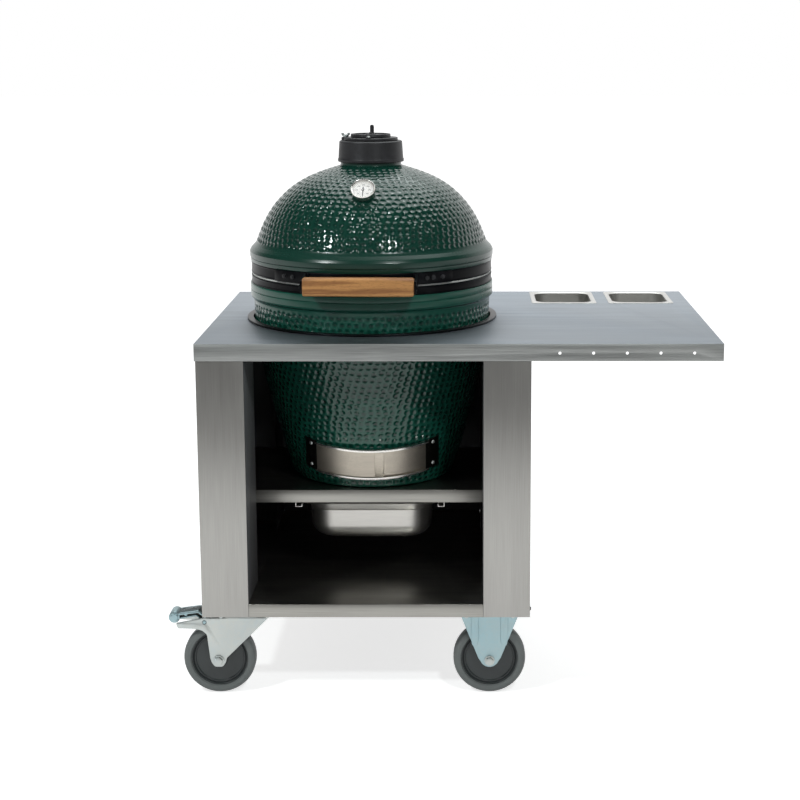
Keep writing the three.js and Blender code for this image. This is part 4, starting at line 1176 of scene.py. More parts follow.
class Fasteners:
    """Screws and bolts, set on points by Geometry Nodes."""

    def __init__(self, finish: Material) -> None:
        """Builds the tree.

        Args:
            finish: The fasteners' finish.
        """
        recipe = Recipe("set_fasteners", ("Size",), Head="NodeSocketObject")
        aim = {"Vector": recipe.attribute("aim", "FLOAT_VECTOR")}
        turn = recipe.node("FunctionNodeAlignRotationToVector", {"axis": "Z"}, aim)
        pattern = {"Object": recipe.given("Head")}
        head = recipe.node("GeometryNodeObjectInfo", {"transform_space": "ORIGINAL"}, pattern, "Geometry")
        places, size = recipe.given("Geometry"), recipe.given("Size")
        values = {"Points": places, "Instance": head, "Rotation": turn, "Scale": size}
        recipe.end(recipe.node("GeometryNodeInstanceOnPoints", {}, values), finish)
        self.recipe = recipe

    def set(
        self, name: str, head: Piece, places: Sequence[tuple[Vector, Vector]], size: float = 1.0
    ) -> Piece:
        """Sets a head on each place.

        Args:
            name: The piece's name.
            head: The head, made at the origin and pointing along Z.
            places: Each head's foot and direction, in the table's metres.
            size: The head's scale.

        Returns:
            One piece that holds all the heads.
        """
        mesh = bpy.data.meshes.new(name)
        mesh.from_pydata([tuple(foot) for foot, _ in places], [], [])
        aims = mesh.attributes.new("aim", "FLOAT_VECTOR", "POINT")
        for i, (_, aim) in enumerate(places):
            aims.data[i].vector = aim.normalized()
        piece = linked(name, mesh)
        self.recipe.run(piece, {"Head": head, "Size": size})
        return shade(piece, 30.0)


class Heads:
    """The kinds of fastener heads, removed once every fastener is set."""

    def __init__(self) -> None:
        """Makes the heads in metres at the origin."""
        at = IN_MILLIMETRES
        dome = rounded([(0, -1), (5, -1), (5, 0.4), (3.6, 2.6), (0, 3.2)], 0.8)
        self.dome = turned("head_dome", dome, at, 24)
        nut = cut_sheet("nut", hexagon(6.6), [], 1.2, 6.0, at, 0.5)
        washer = turned("washer", rounded([(0, -1), (8, -1), (8, 1.2), (0, 1.2)], 0.4), at, 28)
        tip = turned("tip", rounded([(0, 4), (3.4, 4), (3.4, 8.2), (0, 8.6)], 0.7), at, 18)
        self.hex = joined("head_hex", [nut, washer, tip])

    def put_away(self) -> None:
        """Removes the patterns once every fastener is set."""
        for head in (self.dome, self.hex):
            bpy.data.objects.remove(head)


@dataclass(frozen=True)
class Datum:
    """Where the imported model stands, in metres."""

    axis_x: float
    foot: float
    base_turn: float = math.radians(2.0)
    lid_turn: float = math.radians(-2.2)

    @staticmethod
    def read() -> "Datum":
        """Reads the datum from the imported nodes."""
        low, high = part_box("fire_ring")
        return Datum((low.x + high.x) / 2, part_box("egg_base")[0].z)

    def turned_by(self, turn: float) -> Matrix:
        """The kamado's frame turned round its axis, in millimetres above its foot."""
        place = Matrix.Translation((self.axis_x, 0, self.foot))
        return place @ Matrix.Rotation(turn, 4, "Z") @ IN_MILLIMETRES

    def base(self) -> Matrix:
        """The frame of the kamado base."""
        return self.turned_by(self.base_turn)

    def lid(self) -> Matrix:
        """The frame of the lid and the bands."""
        return self.turned_by(self.lid_turn)


def ride_all(pieces: Iterable[Piece], body: str) -> None:
    """Lets pieces ride on one body and reports them."""
    for piece in pieces:
        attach(piece, body)
        LOG.info("%s rides on %s", piece.name, body)


@dataclass
class Group:
    """A group of the table's pieces, with what all groups share."""

    finishes: Finishes
    heads: Heads
    fasteners: Fasteners
    datum: Datum


@dataclass
class Cabinet(Group):
    """The folded steel cabinet with its worktop, shelves and panels."""

    edge: float = 1.1
    sheet_edge: float = 0.7
    overlap: float = 0.7
    sheet: float = 1.6

    def build(self) -> None:
        """Makes and dresses every sheet of the cabinet."""
        finishes = self.finishes
        worktop = refined("worktop", "worktop_sheet", self.edge, 3)
        self.split_finish(worktop, finishes.top, finishes.lip, lambda n, c: n.z > 0.6)
        pieces = [worktop]
        box = [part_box("left_side_shell")[0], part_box("right_side_shell")[1]]
        tests = {f"{word}_side_shell": self.outside(box, side) for word, side in HANDS.items()}
        tests["back_panel"] = lambda n, c: n.y > 0.5
        tests["egg_shelf"] = lambda n, c: n.z > -0.5 and n.y < 0.5
        tests["bottom_shelf"] = self.lip_or_front(box)
        for node, is_outer in tests.items():
            sheet = refined(node, f"{node}_sheet", self.sheet_edge)
            if node == "back_panel":
                self.spread(sheet, self.overlap)
            outer = finishes.shelf if node.endswith("shelf") else finishes.column
            # the inner faces get painted shade, a dark copy of the steel
            self.split_finish(sheet, outer, finishes.inside, is_outer)
            pieces.append(sheet)
        for word in HANDS:
            plate = refined(f"base_plate_{word}", f"base_plate_{word}_sheet", self.sheet_edge)
            pieces.append(dress(plate, finishes.shelf))
        pieces.append(self.side_bolts(box))
        ride_all(pieces, "table")

    def spread(self, piece: Piece, margin: float) -> None:
        """Grows an upright sheet by a margin on all four sides, so that no light shows past it."""
        middle = sum((Vector(corner) for corner in piece.bound_box), Vector()) / 8
        for vertex in piece.data.vertices:
            vertex.co.x += math.copysign(margin * MM, vertex.co.x - middle.x)
            vertex.co.z += math.copysign(margin * MM, vertex.co.z - middle.z)

    def split_finish(
        self,
        piece: Piece,
        outer: Material,
        inner: Material,
        is_outer: Callable[[Vector, Vector], bool],
    ) -> None:
        """Gives a sheet one finish outside and another inside, which on the cabinet's sheets is painted
        shade.

        Args:
            piece: The sheet.
            outer: The finish of its outer faces.
            inner: The finish of its inner faces.
            is_outer: Whether a face with this normal and middle is outside.
        """
        dress(piece, outer)
        piece.data.materials.append(inner)
        for face in piece.data.polygons:
            face.material_index = 0 if is_outer(face.normal, face.center) else 1

    def outside(self, box: Sequence[Vector], side: int) -> Callable[[Vector, Vector], bool]:
        """Tells the outer faces of a side shell from its inner ones.

        Args:
            box: The cabinet's lowest and highest corner.
            side: -1 for the left shell and 1 for the right one.

        Returns:
            The test for a face.
        """
        low, high = box
        deep = self.sheet * MM
        outer_face = low.x if side < 0 else high.x

        def is_outer(normal: Vector, centre: Vector) -> bool:
            """Whether this face lies on the shell's outside."""
            near_face = centre.y < low.y + deep or centre.y > high.y - deep
            return abs(centre.x - outer_face) < deep or (near_face and abs(normal.x) < 0.9)

        return is_outer

    def lip_or_front(self, box: Sequence[Vector]) -> Callable[[Vector, Vector], bool]:
        """Tells the shelf's top and lips from its underside."""
        low, high = box

        def is_outer(normal: Vector, centre: Vector) -> bool:
            """Whether this face shows from above, the front or the back."""
            return normal.z > 0.2 or centre.y < low.y + 1.2 * MM or centre.y > high.y - 1.2 * MM

        return is_outer

    def side_bolts(self, box: Sequence[Vector]) -> Piece:
        """The small bolt heads low on the two side walls."""
        low, high = box
        places = []
        for y in (low.y + 14 * MM, high.y - 14 * MM):
            for x, way in ((low.x, -1), (high.x, 1)):
                places.append((Vector((x, y, low.z + 16 * MM)), Vector((way, 0, 0))))
        piece = self.fasteners.set("side_wall_bolts", self.heads.dome, places, 0.95)
        return dress(piece, self.finishes.dark)


@dataclass
class SteelPan:
    """A drawn steel pan with a flat rolled flange and soft corners."""

    node: str
    flange: float
    corner: float
    body_corner: float
    fillet: float
    taper: float
    body: str
    shoulder: float = 20.0
    step: float = 0.0
    sheet: float = 1.2
    roll: float = 2.6

    def build(self, finish: Material) -> None:
        """Makes the pan in its node's box.

        Args:
            finish: The pan's finish.
        """
        low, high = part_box(self.node)
        length, depth, top = (1000 * (high[i] - low[i]) for i in range(3))
        at = Matrix.Translation(((low.x + high.x) / 2, (low.y + high.y) / 2, low.z)) @ IN_MILLIMETRES
        sheet, roll, wall, corner, soft = self.sheet, self.roll, self.flange, self.body_corner, self.corner
        base = wall + self.taper + self.step
        ledge = top - self.shoulder
        mid = wall + self.taper * self.shoulder / top

        def bend(i: int, off: float) -> tuple[float, float, float]:
            """Step i of 6 up the bottom's fillet, as inset, height and corner radius."""
            turn, radius = math.pi / 2 * i / 6, self.fillet - off
            back = radius * (1 - math.sin(turn))
            return base + off + back, off + radius * (1 - math.cos(turn)), corner - off - back * 0.7

        outer_step = ((-3.0, 1.0), (-1.6, 0.85), (-0.6, 0.35), (0.6, 0.0)) if self.step > 0 else ()
        inner_step = ((0.2, 0.0), (-1.0, 0.35), (-2.0, 0.85), (-3.4, 1.0)) if self.step > 0 else ()
        rows = [
            *[bend(i, 0.0) for i in range(7)],
            *[(mid + self.step * share, ledge + drop, corner) for drop, share in outer_step],
            (wall + 0.3, top - sheet - 2.5, corner),
            (wall - 1.2, top - sheet, corner + 1),
            (roll, top - sheet, soft - roll),
            (roll * 0.3, top - sheet - roll * 0.5, soft),
            (0.0, top - sheet - roll * 0.1, soft),
            (roll * 0.25, top - 0.35, soft),
            (roll, top, soft - roll),
            (wall - 1.2, top, corner + 1),
            (wall + sheet + 0.6, top - 2.2, corner - sheet),
            *[(mid + sheet + self.step * share, ledge + drop, corner - sheet) for drop, share in inner_step],
            *[bend(i, sheet) for i in range(6, -1, -1)],
        ]
        loops = [round_box(length - 2 * inset, depth - 2 * inset, max(r, 3.0), z) for inset, z, r in rows]
        pan = shade(lofted(f"{self.node}_drawn", loops, at), 40.0)
        ride_all([stand_for(pan, self.node, finish)], self.body)


@dataclass
class PanRails(Group):
    """The two hooked rails that carry the drip pan, with a wire stop at each rail's front end."""

    edge: float = 0.6
    wire: float = 1.8

    def build(self) -> None:
        """Makes and dresses the rails."""
        pieces = []
        for word, way in HANDS.items():
            node = f"pan_rail_{word}"
            pieces.append(dress(refined(node, f"{node}_sheet", self.edge), self.finishes.pan))
            pieces.append(self.stop(node, way))
        ride_all(pieces, "table")

    def stop(self, node: str, way: int) -> Piece:
        """The bent wire that hooks round a rail's front end.

        Args:
            node: The rail's CAD node.
            way: -1 for the left rail and 1 for the right one.

        Returns:
            The wire.
        """
        low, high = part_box(node)
        outer = low.x if way < 0 else high.x
        middle = Vector((outer + way * 5 * MM, low.y + 6 * MM, low.z + 9 * MM))
        curve = bpy.data.curves.new(f"{node}_stop", "CURVE")
        curve.dimensions = "3D"
        curve.bevel_depth = self.wire * MM
        curve.bevel_resolution = 3
        curve.use_fill_caps = True
        spline = curve.splines.new("POLY")
        path = ((-7, 8), (2, 8), (5, 5), (6, 0), (4, -5), (-1, -7), (-7, -7))
        smooth = rounded([(way * x, z, 3) for x, z in path], 3)
        spline.points.add(len(smooth) - 1)
        for point, (x, z) in zip(spline.points, smooth):
            point.co = (middle.x + x * MM, middle.y, middle.z + z * MM, 1.0)
        piece = linked(f"{node}_stop", spent(linked(f"{node}_stop", curve)))
        return dress(shade(piece, 60.0), self.finishes.coat)


@dataclass(frozen=True)
class Wheel:
    """A grey rubber tyre on a dark core with a raised ring and a hub."""

    width: float = 40.0
    seat: float = 64.0
    hub_width: float = 46.0
    bore: float = 6.4

    def build(self, place: str, body: str, finishes: Finishes) -> None:
        """Makes one wheel's tyre and core.

        Args:
            place: The end of the two nodes' names.
            body: The body that the wheel rides on.
            finishes: The table's finishes.
        """
        rubber, plastic = f"tyre_{place}", f"wheel_core_{place}"
        at = Matrix.Translation(middle_of(rubber)) @ UPRIGHT @ IN_MILLIMETRES
        low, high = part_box(rubber)
        outer, half, seat, hub = 500 * (high.z - low.z), self.width / 2, self.seat, self.hub_width / 2
        tread = [
            (seat, half - 4.5, 0.4), (seat + 0.8, half - 4.5, 0.3), (seat + 1.8, half - 0.6, 0.8),
            (outer - 9, half, 3), (outer - 3, half - 2.5, 4), (outer, half - 11, 8),
        ]
        tyre = turned(f"{rubber}_rubber", rounded_loop(both_halves(tread)[::-1], 3), at, 128, True)
        disc = [
            (self.bore, hub, 0.5), (17, hub, 1.2), (18.5, 13, 3), (48, 9.5, 3), (53.5, 9, 1), (55.2, 11.6, 1),
            (57.4, 11.8, 1), (58.8, 8.6, 1), (61.5, half - 6.5, 2), (seat - 0.3, half - 5.5, 0.6),
        ]
        core = turned(f"{plastic}_moulded", rounded_loop(both_halves(disc), 1, 3), at, 96, True)
        stand_for(shade(tyre, 40.0), rubber, finishes.tyre)
        stand_for(shade(core, 30.0), plastic, finishes.core)
        ride_all([tyre, core], body)


@dataclass
class Castors(Group):
    """Two fixed castors on the right and two swivel ones with a brake on the left."""

    wheel: Wheel = Wheel()
    cheek: float = 4.0
    inside: float = 54.0
    axle_drop: float = 116.2
    trail: float = 61.0

    bolt_places = tuple((x, y) for x in (-52, 52) for y in (-40, 40))
    fork_front = (
        (-0.82, 0.76, 4), (-0.78, 0.655, 4), (-0.46, 0.645, 10), (-0.31, 0.61, 12), (-0.22, 0.53, 10),
        (-0.165, 0.05, 12),
    )
    fork_end = ((-16.5, -4, 10), (-9, -15, 9), (9, -15, 9), (16.5, -4, 10))
    fork_back = ((0.16, 0.05, 10), (0.972, 0.855, 5), (0.95, 0.876, 4), (-0.3, 0.862, 10))

    def build(self) -> None:
        """Makes and dresses the four castors."""
        for row in ("front", "rear"):
            self.fixed(row)
            self.swivel(row)
            self.wheel.build(f"fixed_{row}", f"fixed_wheel_{row}", self.finishes)
            self.wheel.build(f"swivel_{row}", f"swivel_wheel_{row}", self.finishes)

    def frame_at(self, node: str) -> Matrix:
        """The frame of a castor, under the middle of its plate at the base plate's underside."""
        low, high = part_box(node)
        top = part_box("base_plate_left")[0].z
        return Matrix.Translation(((low.x + high.x) / 2, (low.y + high.y) / 2, top)) @ IN_MILLIMETRES

    def cheek_pair(
        self, name: str, outline: Sequence[Point], holes: Sequence[Sequence[Point]], at: Matrix
    ) -> list[Piece]:
        """Two rounded fork cheeks from one outline, on both sides of the wheel."""
        made = []
        for side in SIDES:
            low, high = sorted((side * self.inside / 2, side * (self.inside / 2 + self.cheek)))
            made.append(cut_sheet(f"{name}_{side}", outline, holes, low, high, at @ UPRIGHT, 1.2))
        return made

    def plate(self, name: str, at: Matrix) -> Piece:
        """A head plate with round corners and four bolt slots."""
        slot = round_box(13, 11, 5.4, 0, 4)
        holes = [shifted(slot, *place) for place in self.bolt_places]
        return cut_sheet(name, round_box(135, 110, 8, 0), holes, -4.6, -0.3, at, 0.8)

    def plate_bolts(self, name: str, at: Matrix) -> Piece:
        """The four bolts that hold a head plate."""
        places = [(at @ Vector((x, y, -4.6)), Vector((0, 0, -1))) for x, y in self.bolt_places]
        bolts = self.fasteners.set(name, self.heads.hex, places, 0.9)
        return bolts

    def axle(self, place: str) -> Piece:
        """An axle bolt with a hex head, a washer and a nut."""
        node = f"axle_bolt_{place}"
        low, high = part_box(node)
        at = Matrix.Translation((low + high) / 2) @ UPRIGHT @ IN_MILLIMETRES
        half = 500 * (high.y - low.y)
        shank = [(0, -half + 2), (6, -half + 2), (6, half - 2), (0, half - 2)]
        parts = [turned("shank", rounded(shank, 1), at, 32)]
        reach = 10.2 if place.startswith("swivel") else 9.2
        for side in SIDES:
            face, foot = side * half, side * (half - 7)
            parts.append(cut_sheet("head", hexagon(reach, 0.3), [], *sorted((face, foot)), at, 1.6))
            wide, near, far = reach + 2.4, foot - side * 0.2, foot + side * 2
            flange = [(0, near), (wide, near), (wide, far), (0, far)]
            parts.append(turned("flange", rounded(flange, 0.6), at, 32))
        return stand_for(joined(f"{node}_made", parts), node, self.finishes.zinc)

    def fixed(self, row: str) -> None:
        """One fixed castor's fork and bolts."""
        node = f"fixed_fork_{row}"
        at = self.frame_at(node)
        drop = self.axle_drop
        tip = [(22.5 * math.cos(t), -drop + 7.6 - 23.2 * math.sin(t)) for t in (0.35, 0.75, 1.15, 1.45)]
        half = [(67.4, -4), (25.3, -drop + 5.5), *tip]
        outline = rounded_loop([*half, *[(-x, z) for x, z in reversed(half)]], 4, 5)
        parts = self.cheek_pair("cheek", outline, [circle(0, -drop, self.wheel.bore)], at)
        parts.append(self.plate("plate", at))
        parts += [self.flute(side, place, at) for side in SIDES for place in (-33.0, 33.0)]
        fork = stand_for(joined(f"{node}_pressed", parts), node, self.finishes.blue_zinc)
        bolts = self.plate_bolts(f"fixed_plate_bolts_{row}", at)
        ride_all([fork, bolts, self.axle(f"fixed_{row}")], "table")

    def flute(self, side: int, place: float, at: Matrix) -> Piece:
        """A flute pressed outwards down a fixed fork's cheek.

        Args:
            side: -1 for the cheek at the back and 1 for the one in front.
            place: Where it runs along the cheek.
            at: The castor's frame.

        Returns:
            The flute.
        """
        face = -side * (self.inside / 2 + self.cheek)
        foot = face + side * 1.2
        turns = [math.pi * i / 8 for i in range(9)]
        loops = []
        for z, share in ((-6, 1.0), (-30, 1.0), (-56, 1.0), (-68, 0.8), (-76, 0.45), (-80, 0.08)):
            wide, out = 9.0 * (0.55 + 0.45 * share), -side * 3.4 * share
            arch = [(place + wide * math.cos(t), face + out * math.sin(t), z) for t in turns]
            loops.append([*arch, (place - wide, foot, z), (place + wide, foot, z)])
        return lofted("flute", loops, at)

    def swivel(self, row: str) -> None:
        """One swivel castor's head, fork and brake pedal."""
        head, node = f"swivel_plate_{row}", f"swivel_fork_{row}"
        at = self.frame_at(head)
        race = [(0, -3), (30, -3), (34, -6, 2), (34, -12, 2), (26, -13.2, 1), (0, -13.2)]
        parts = [self.plate("plate", at), turned("race", rounded(race, 2), at, 64)]
        plate = stand_for(joined(f"{head}_pressed", parts), head, self.finishes.zinc)
        ride_all([plate, self.plate_bolts(f"swivel_plate_bolts_{row}", at)], "table")
        drop, trail = self.axle_drop, self.trail

        def scaled(shares: Sequence[tuple]) -> list[tuple]:
            """Corners given as shares of the axle's drop, from the axle."""
            return [(x * drop - trail, z * drop - drop, soft) for x, z, soft in shares]

        corners = [*scaled(self.fork_front), *shifted(self.fork_end, -trail, -drop), *scaled(self.fork_back)]
        pivot = (-0.26 * drop - trail, -0.22 * drop)
        holes = [circle(-trail, -drop, self.wheel.bore), circle(*pivot, 4.5, 20)]
        parts = self.cheek_pair("cheek", rounded_loop(corners, 4, 5), holes, at)
        web = round_box(92, 2 * (self.inside / 2 + self.cheek), 16, 0)
        parts.append(cut_sheet("web", web, [], -17.5, -13.7, at @ Matrix.Translation((-7, 0, 0)), 0.9))
        king = [(0, -26), (9, -26), (11, -20, 1), (11, -17), (0, -17)]
        parts.append(turned("king", rounded(king, 1), at, 32))
        fork = stand_for(joined(f"{node}_pressed", parts), node, self.finishes.zinc)
        ride_all([fork, self.axle(f"swivel_{row}")], f"swivel_{row}")
        self.pedal(row, at, pivot)

    def pedal(self, row: str, at: Matrix, pivot: Point) -> None:
        """A swivel castor's pressed brake pedal with its rolled tip."""
        tip = (-0.875 * self.axle_drop - self.trail + 2, -0.2 * self.axle_drop + 5.5)
        top = [*shifted([(6, 8, 2), (14, 10, 4), (55, 15.5, 8)], *tip), *shifted([(-4, 14, 4)], *pivot)]
        foot = [*shifted([(6, 2, 4), (-6, -1, 4)], *pivot), *shifted([(50, 3.5, 6), (13, -4, 3)], *tip)]
        strip = [*shifted([(-4, 9.6, 3)], *pivot), *shifted([(54, 11, 8), (14, 5.6, 4), (6, 4, 2)], *tip)]
        ledge = [*shifted([(13, -0.4, 3), (50, 6.6, 6)], *tip), *shifted([(-6, 3, 4), (5, 6, 3)], *pivot)]
        parts = []
        for name, outline, half, edge in (
            ("top_strip", rounded_loop([*top, *strip], 3), 21.5, 0.7),
            ("low_strip", rounded_loop([*ledge, *foot], 3), 21.5, 0.7),
            ("web", rounded_loop([*top, *foot], 3), 15.5, 0.7),
            ("barrel", circle(*pivot, 7.8, 24), 22.0, 1.0),
            ("pin", circle(*pivot, 3.9, 20), 30.9, 0.6),
            ("rivet", circle(tip[0] + 26, tip[1] + 6, 3.4, 16), 20.0, 1.2),
            ("roll", circle(*tip, 12.8), 21.5, 1.6),
        ):
            part = cut_sheet(name, outline, [], -half, half, at @ UPRIGHT, edge)
            part.data.materials.append(self.finishes.dark if name == "web" else self.finishes.blue_zinc)
            parts.append(part)
        outline = rounded([(0, 0), (8.6, 0), (8.6, 1.9), (7.4, 2.6), (0, 2.8)], 0.6)
        for side in SIDES:
            place = at @ Matrix.Translation((tip[0], -side * 21.0, tip[1]))
            cap = turned("cap", outline, place @ Matrix.Rotation(math.pi / 2 * side, 4, "X"), 28)
            cap.data.materials.append(self.finishes.blue_zinc)
            parts.append(cap)
        piece = joined(f"brake_pedal_{row}_pressed", parts)
        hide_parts(f"brake_pedal_{row}")
        ride_all([piece], f"pedal_{row}")


@dataclass
class KamadoBase(Group):
    """The lower half of the kamado, with its draft door."""

    body_height: float = 423.0
    rim_radius: float = 286.8
    band_seat: float = 281.5
    rim_height: float = 40.5
    band_height: float = 19.0
    wall: float = 24.0
    door_radius: float = 217.0113
    door_height: float = 65.0
    door_lean: float = math.radians(17.0)
    door_half: float = 39.0
    window: Point = (-33.0, 2.0)
    window_half: float = 29.8
    rail_end: float = 36.0
    grip: float = 1.6

    def build(self) -> None:
        """Makes and dresses the base."""
        finishes = self.finishes
        knots = [
            (190.0, 0), (199, 22.8), (209.9, 60.1), (221, 99.8), (240, 165.8), (256, 230.1), (268, 290.2),
            (275.5, 345.2), (278.5, 395.1), (279.5, 423),
        ]
        curve = smooth_curve(knots, 10)
        dimpled = [p for p in curve if 6 < p[1] < self.body_height - 4]
        rows = DimpleRows("base_dimples", dimpled, self.datum.axis_x)
        top, rim, seat = self.body_height, self.rim_radius, self.band_seat
        ridge = top + self.rim_height
        crest = ridge + self.band_height
        outline = [(0, 0), (170, 0), (183, 0.3), *resampled([p for p in curve if p[1] > 4], 3.4)]
        outline += rounded([
            (279.7, top + 1), (281, top + 4, 2), (rim - 1, top + 7.5, 2.5), (rim, top + 11, 2),
            (rim, top + 23.6, 0.5), (rim - 1.6, top + 24.8, 0.6), (rim, top + 26, 0.5), (rim, ridge, 2.5),
            (seat, ridge, 0.6), (seat, crest, 2), (257.5, crest, 2), (257.5, ridge - 4, 3), (255.5, top, 8),
            (254.6, top - 28),
        ], 1, 3)
        inside = [(r - self.wall, h) for r, h in reversed(knots[:-2]) if h > 30]
        outline += [*inside, (176, 25), (160, 25), (0, 25)]
        at = self.datum.base()
        shell = turned("egg_base_ceramic", outline, at, 560)
        rows.mark(shell, at, lambda spot: 1.0)
        # painted light: the base's glaze is about twice as bright as the lid's, standing in for light that
        # the base lacks inside the cabinet
        glaze = DimpledGlaze("green_glaze_base", rows, ridge=(0.009, 0.095, 0.064)).build()
        rows.press(shell, glaze, DIMPLE_DEPTH)
        self.cut_draft_way(shell)
        line_inside(shell, at @ Vector((0, 0, top - 50)), finishes.clay)
        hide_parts("egg_base")
        ride_all([shell], "table")
        self.draft_door()
        inner = {"fire_box": finishes.clay, "fire_ring": finishes.clay, "fire_grate": finishes.iron}
        for node, finish in {**inner, "cooking_grid": finishes.bright}.items():
            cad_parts[node].data.materials.clear()
            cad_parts[node].data.materials.append(finish)

    def draft_frame(self) -> Matrix:
        """The leaning frame of the draft door, its axis along Z and its middle at height 0."""
        back = self.door_radius * math.cos(self.door_lean) - self.door_radius
        up = self.door_height + self.door_radius * math.sin(self.door_lean)
        place = Matrix.Translation((0, back, up))
        return self.datum.base() @ place @ Matrix.Rotation(self.door_lean, 4, "X")

    def cut_draft_way(self, shell: Piece) -> None:
        """Cuts the way for air behind the draft door."""
        angles, levels = even_steps(*self.window, 14), [-self.window_half, self.window_half]
        at = self.draft_frame()
        cutter = bent_sheet("draft_way", (150.0, 240.0), angles, levels, lambda a, h: True, at)
        cut = shell.modifiers.new("cut", "BOOLEAN")
        cut.operation = "DIFFERENCE"
        cut.object = cutter
        cut.solver = "EXACT"
        settle(shell)
        bpy.data.objects.remove(cutter)

    def draft_door(self) -> None:
        """The draft door's frame, its door and its screws."""
        at = self.draft_frame()
        radius, half, reach = self.door_radius, self.door_half, self.rail_end
        first, last = self.window
        angles = even_steps(-45, 45, 60, first, last, -reach, reach)
        levels = even_steps(-half, half, 12, -self.window_half, self.window_half)

        def plate(angle: float, height: float) -> bool:
            """Whether the frame's back plate is there."""
            return not (first < angle < last and abs(height) < self.window_half)

        def rail(angle: float, height: float) -> bool:
            """Whether a rail is there."""
            return -reach < angle < reach

        back = soften(bent_sheet("plate", (radius, radius + 1.5), angles, levels, plate, at), 0.3, 1, 40)
        parts = [back]
        for side in SIDES:
            for name, foot, inner in (("rail", 0.6, half - 1.8), ("lip", 5.4, half - 5)):
                radii, edges = (radius + foot, radius + 6.9), sorted((side * half, side * inner))
                parts.append(bent_sheet(name, radii, angles, edges, rail, at))
        for part in parts:
            part.data.materials.append(self.finishes.dark if part is back else self.finishes.bright)
        back.data.materials.append(self.finishes.door)
        inverse = at.inverted()
        for face in back.data.polygons:
            centre = inverse @ face.center
            face.material_index = int(abs(math.degrees(math.atan2(centre.x, -centre.y))) < reach - 2)
        made = joined("draft_frame_folded", parts)
        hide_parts("draft_frame")
        turns = even_steps(-35.5, 7.2, 36, self.grip)
        door = bent_sheet("door", (radius + 2.4, radius + 3.9), turns, [-36.3, 36.3], lambda a, h: True, at)
        tab = bent_sheet(
            "tab", (radius + 3.4, radius + 6.4), turns, [-33.1, 33.1], lambda a, h: a > self.grip, at
        )
        slide = joined("draft_door_bent", [soften(door, 0.3, 1, 40), soften(tab, 0.8, 2, 40)])
        stand_for(slide, "draft_door", self.finishes.door)
        corners = [(angle, height) for angle in (-40.2, 40.2) for height in (28, -28)]
        places = [round_place(at, angle, radius + 1.5, height) for angle, height in corners]
        screws = self.fasteners.set("draft_frame_screws", self.heads.dome, places, 0.95)
        ride_all([made, screws], "table")
        ride_all([slide], "draft_slider")


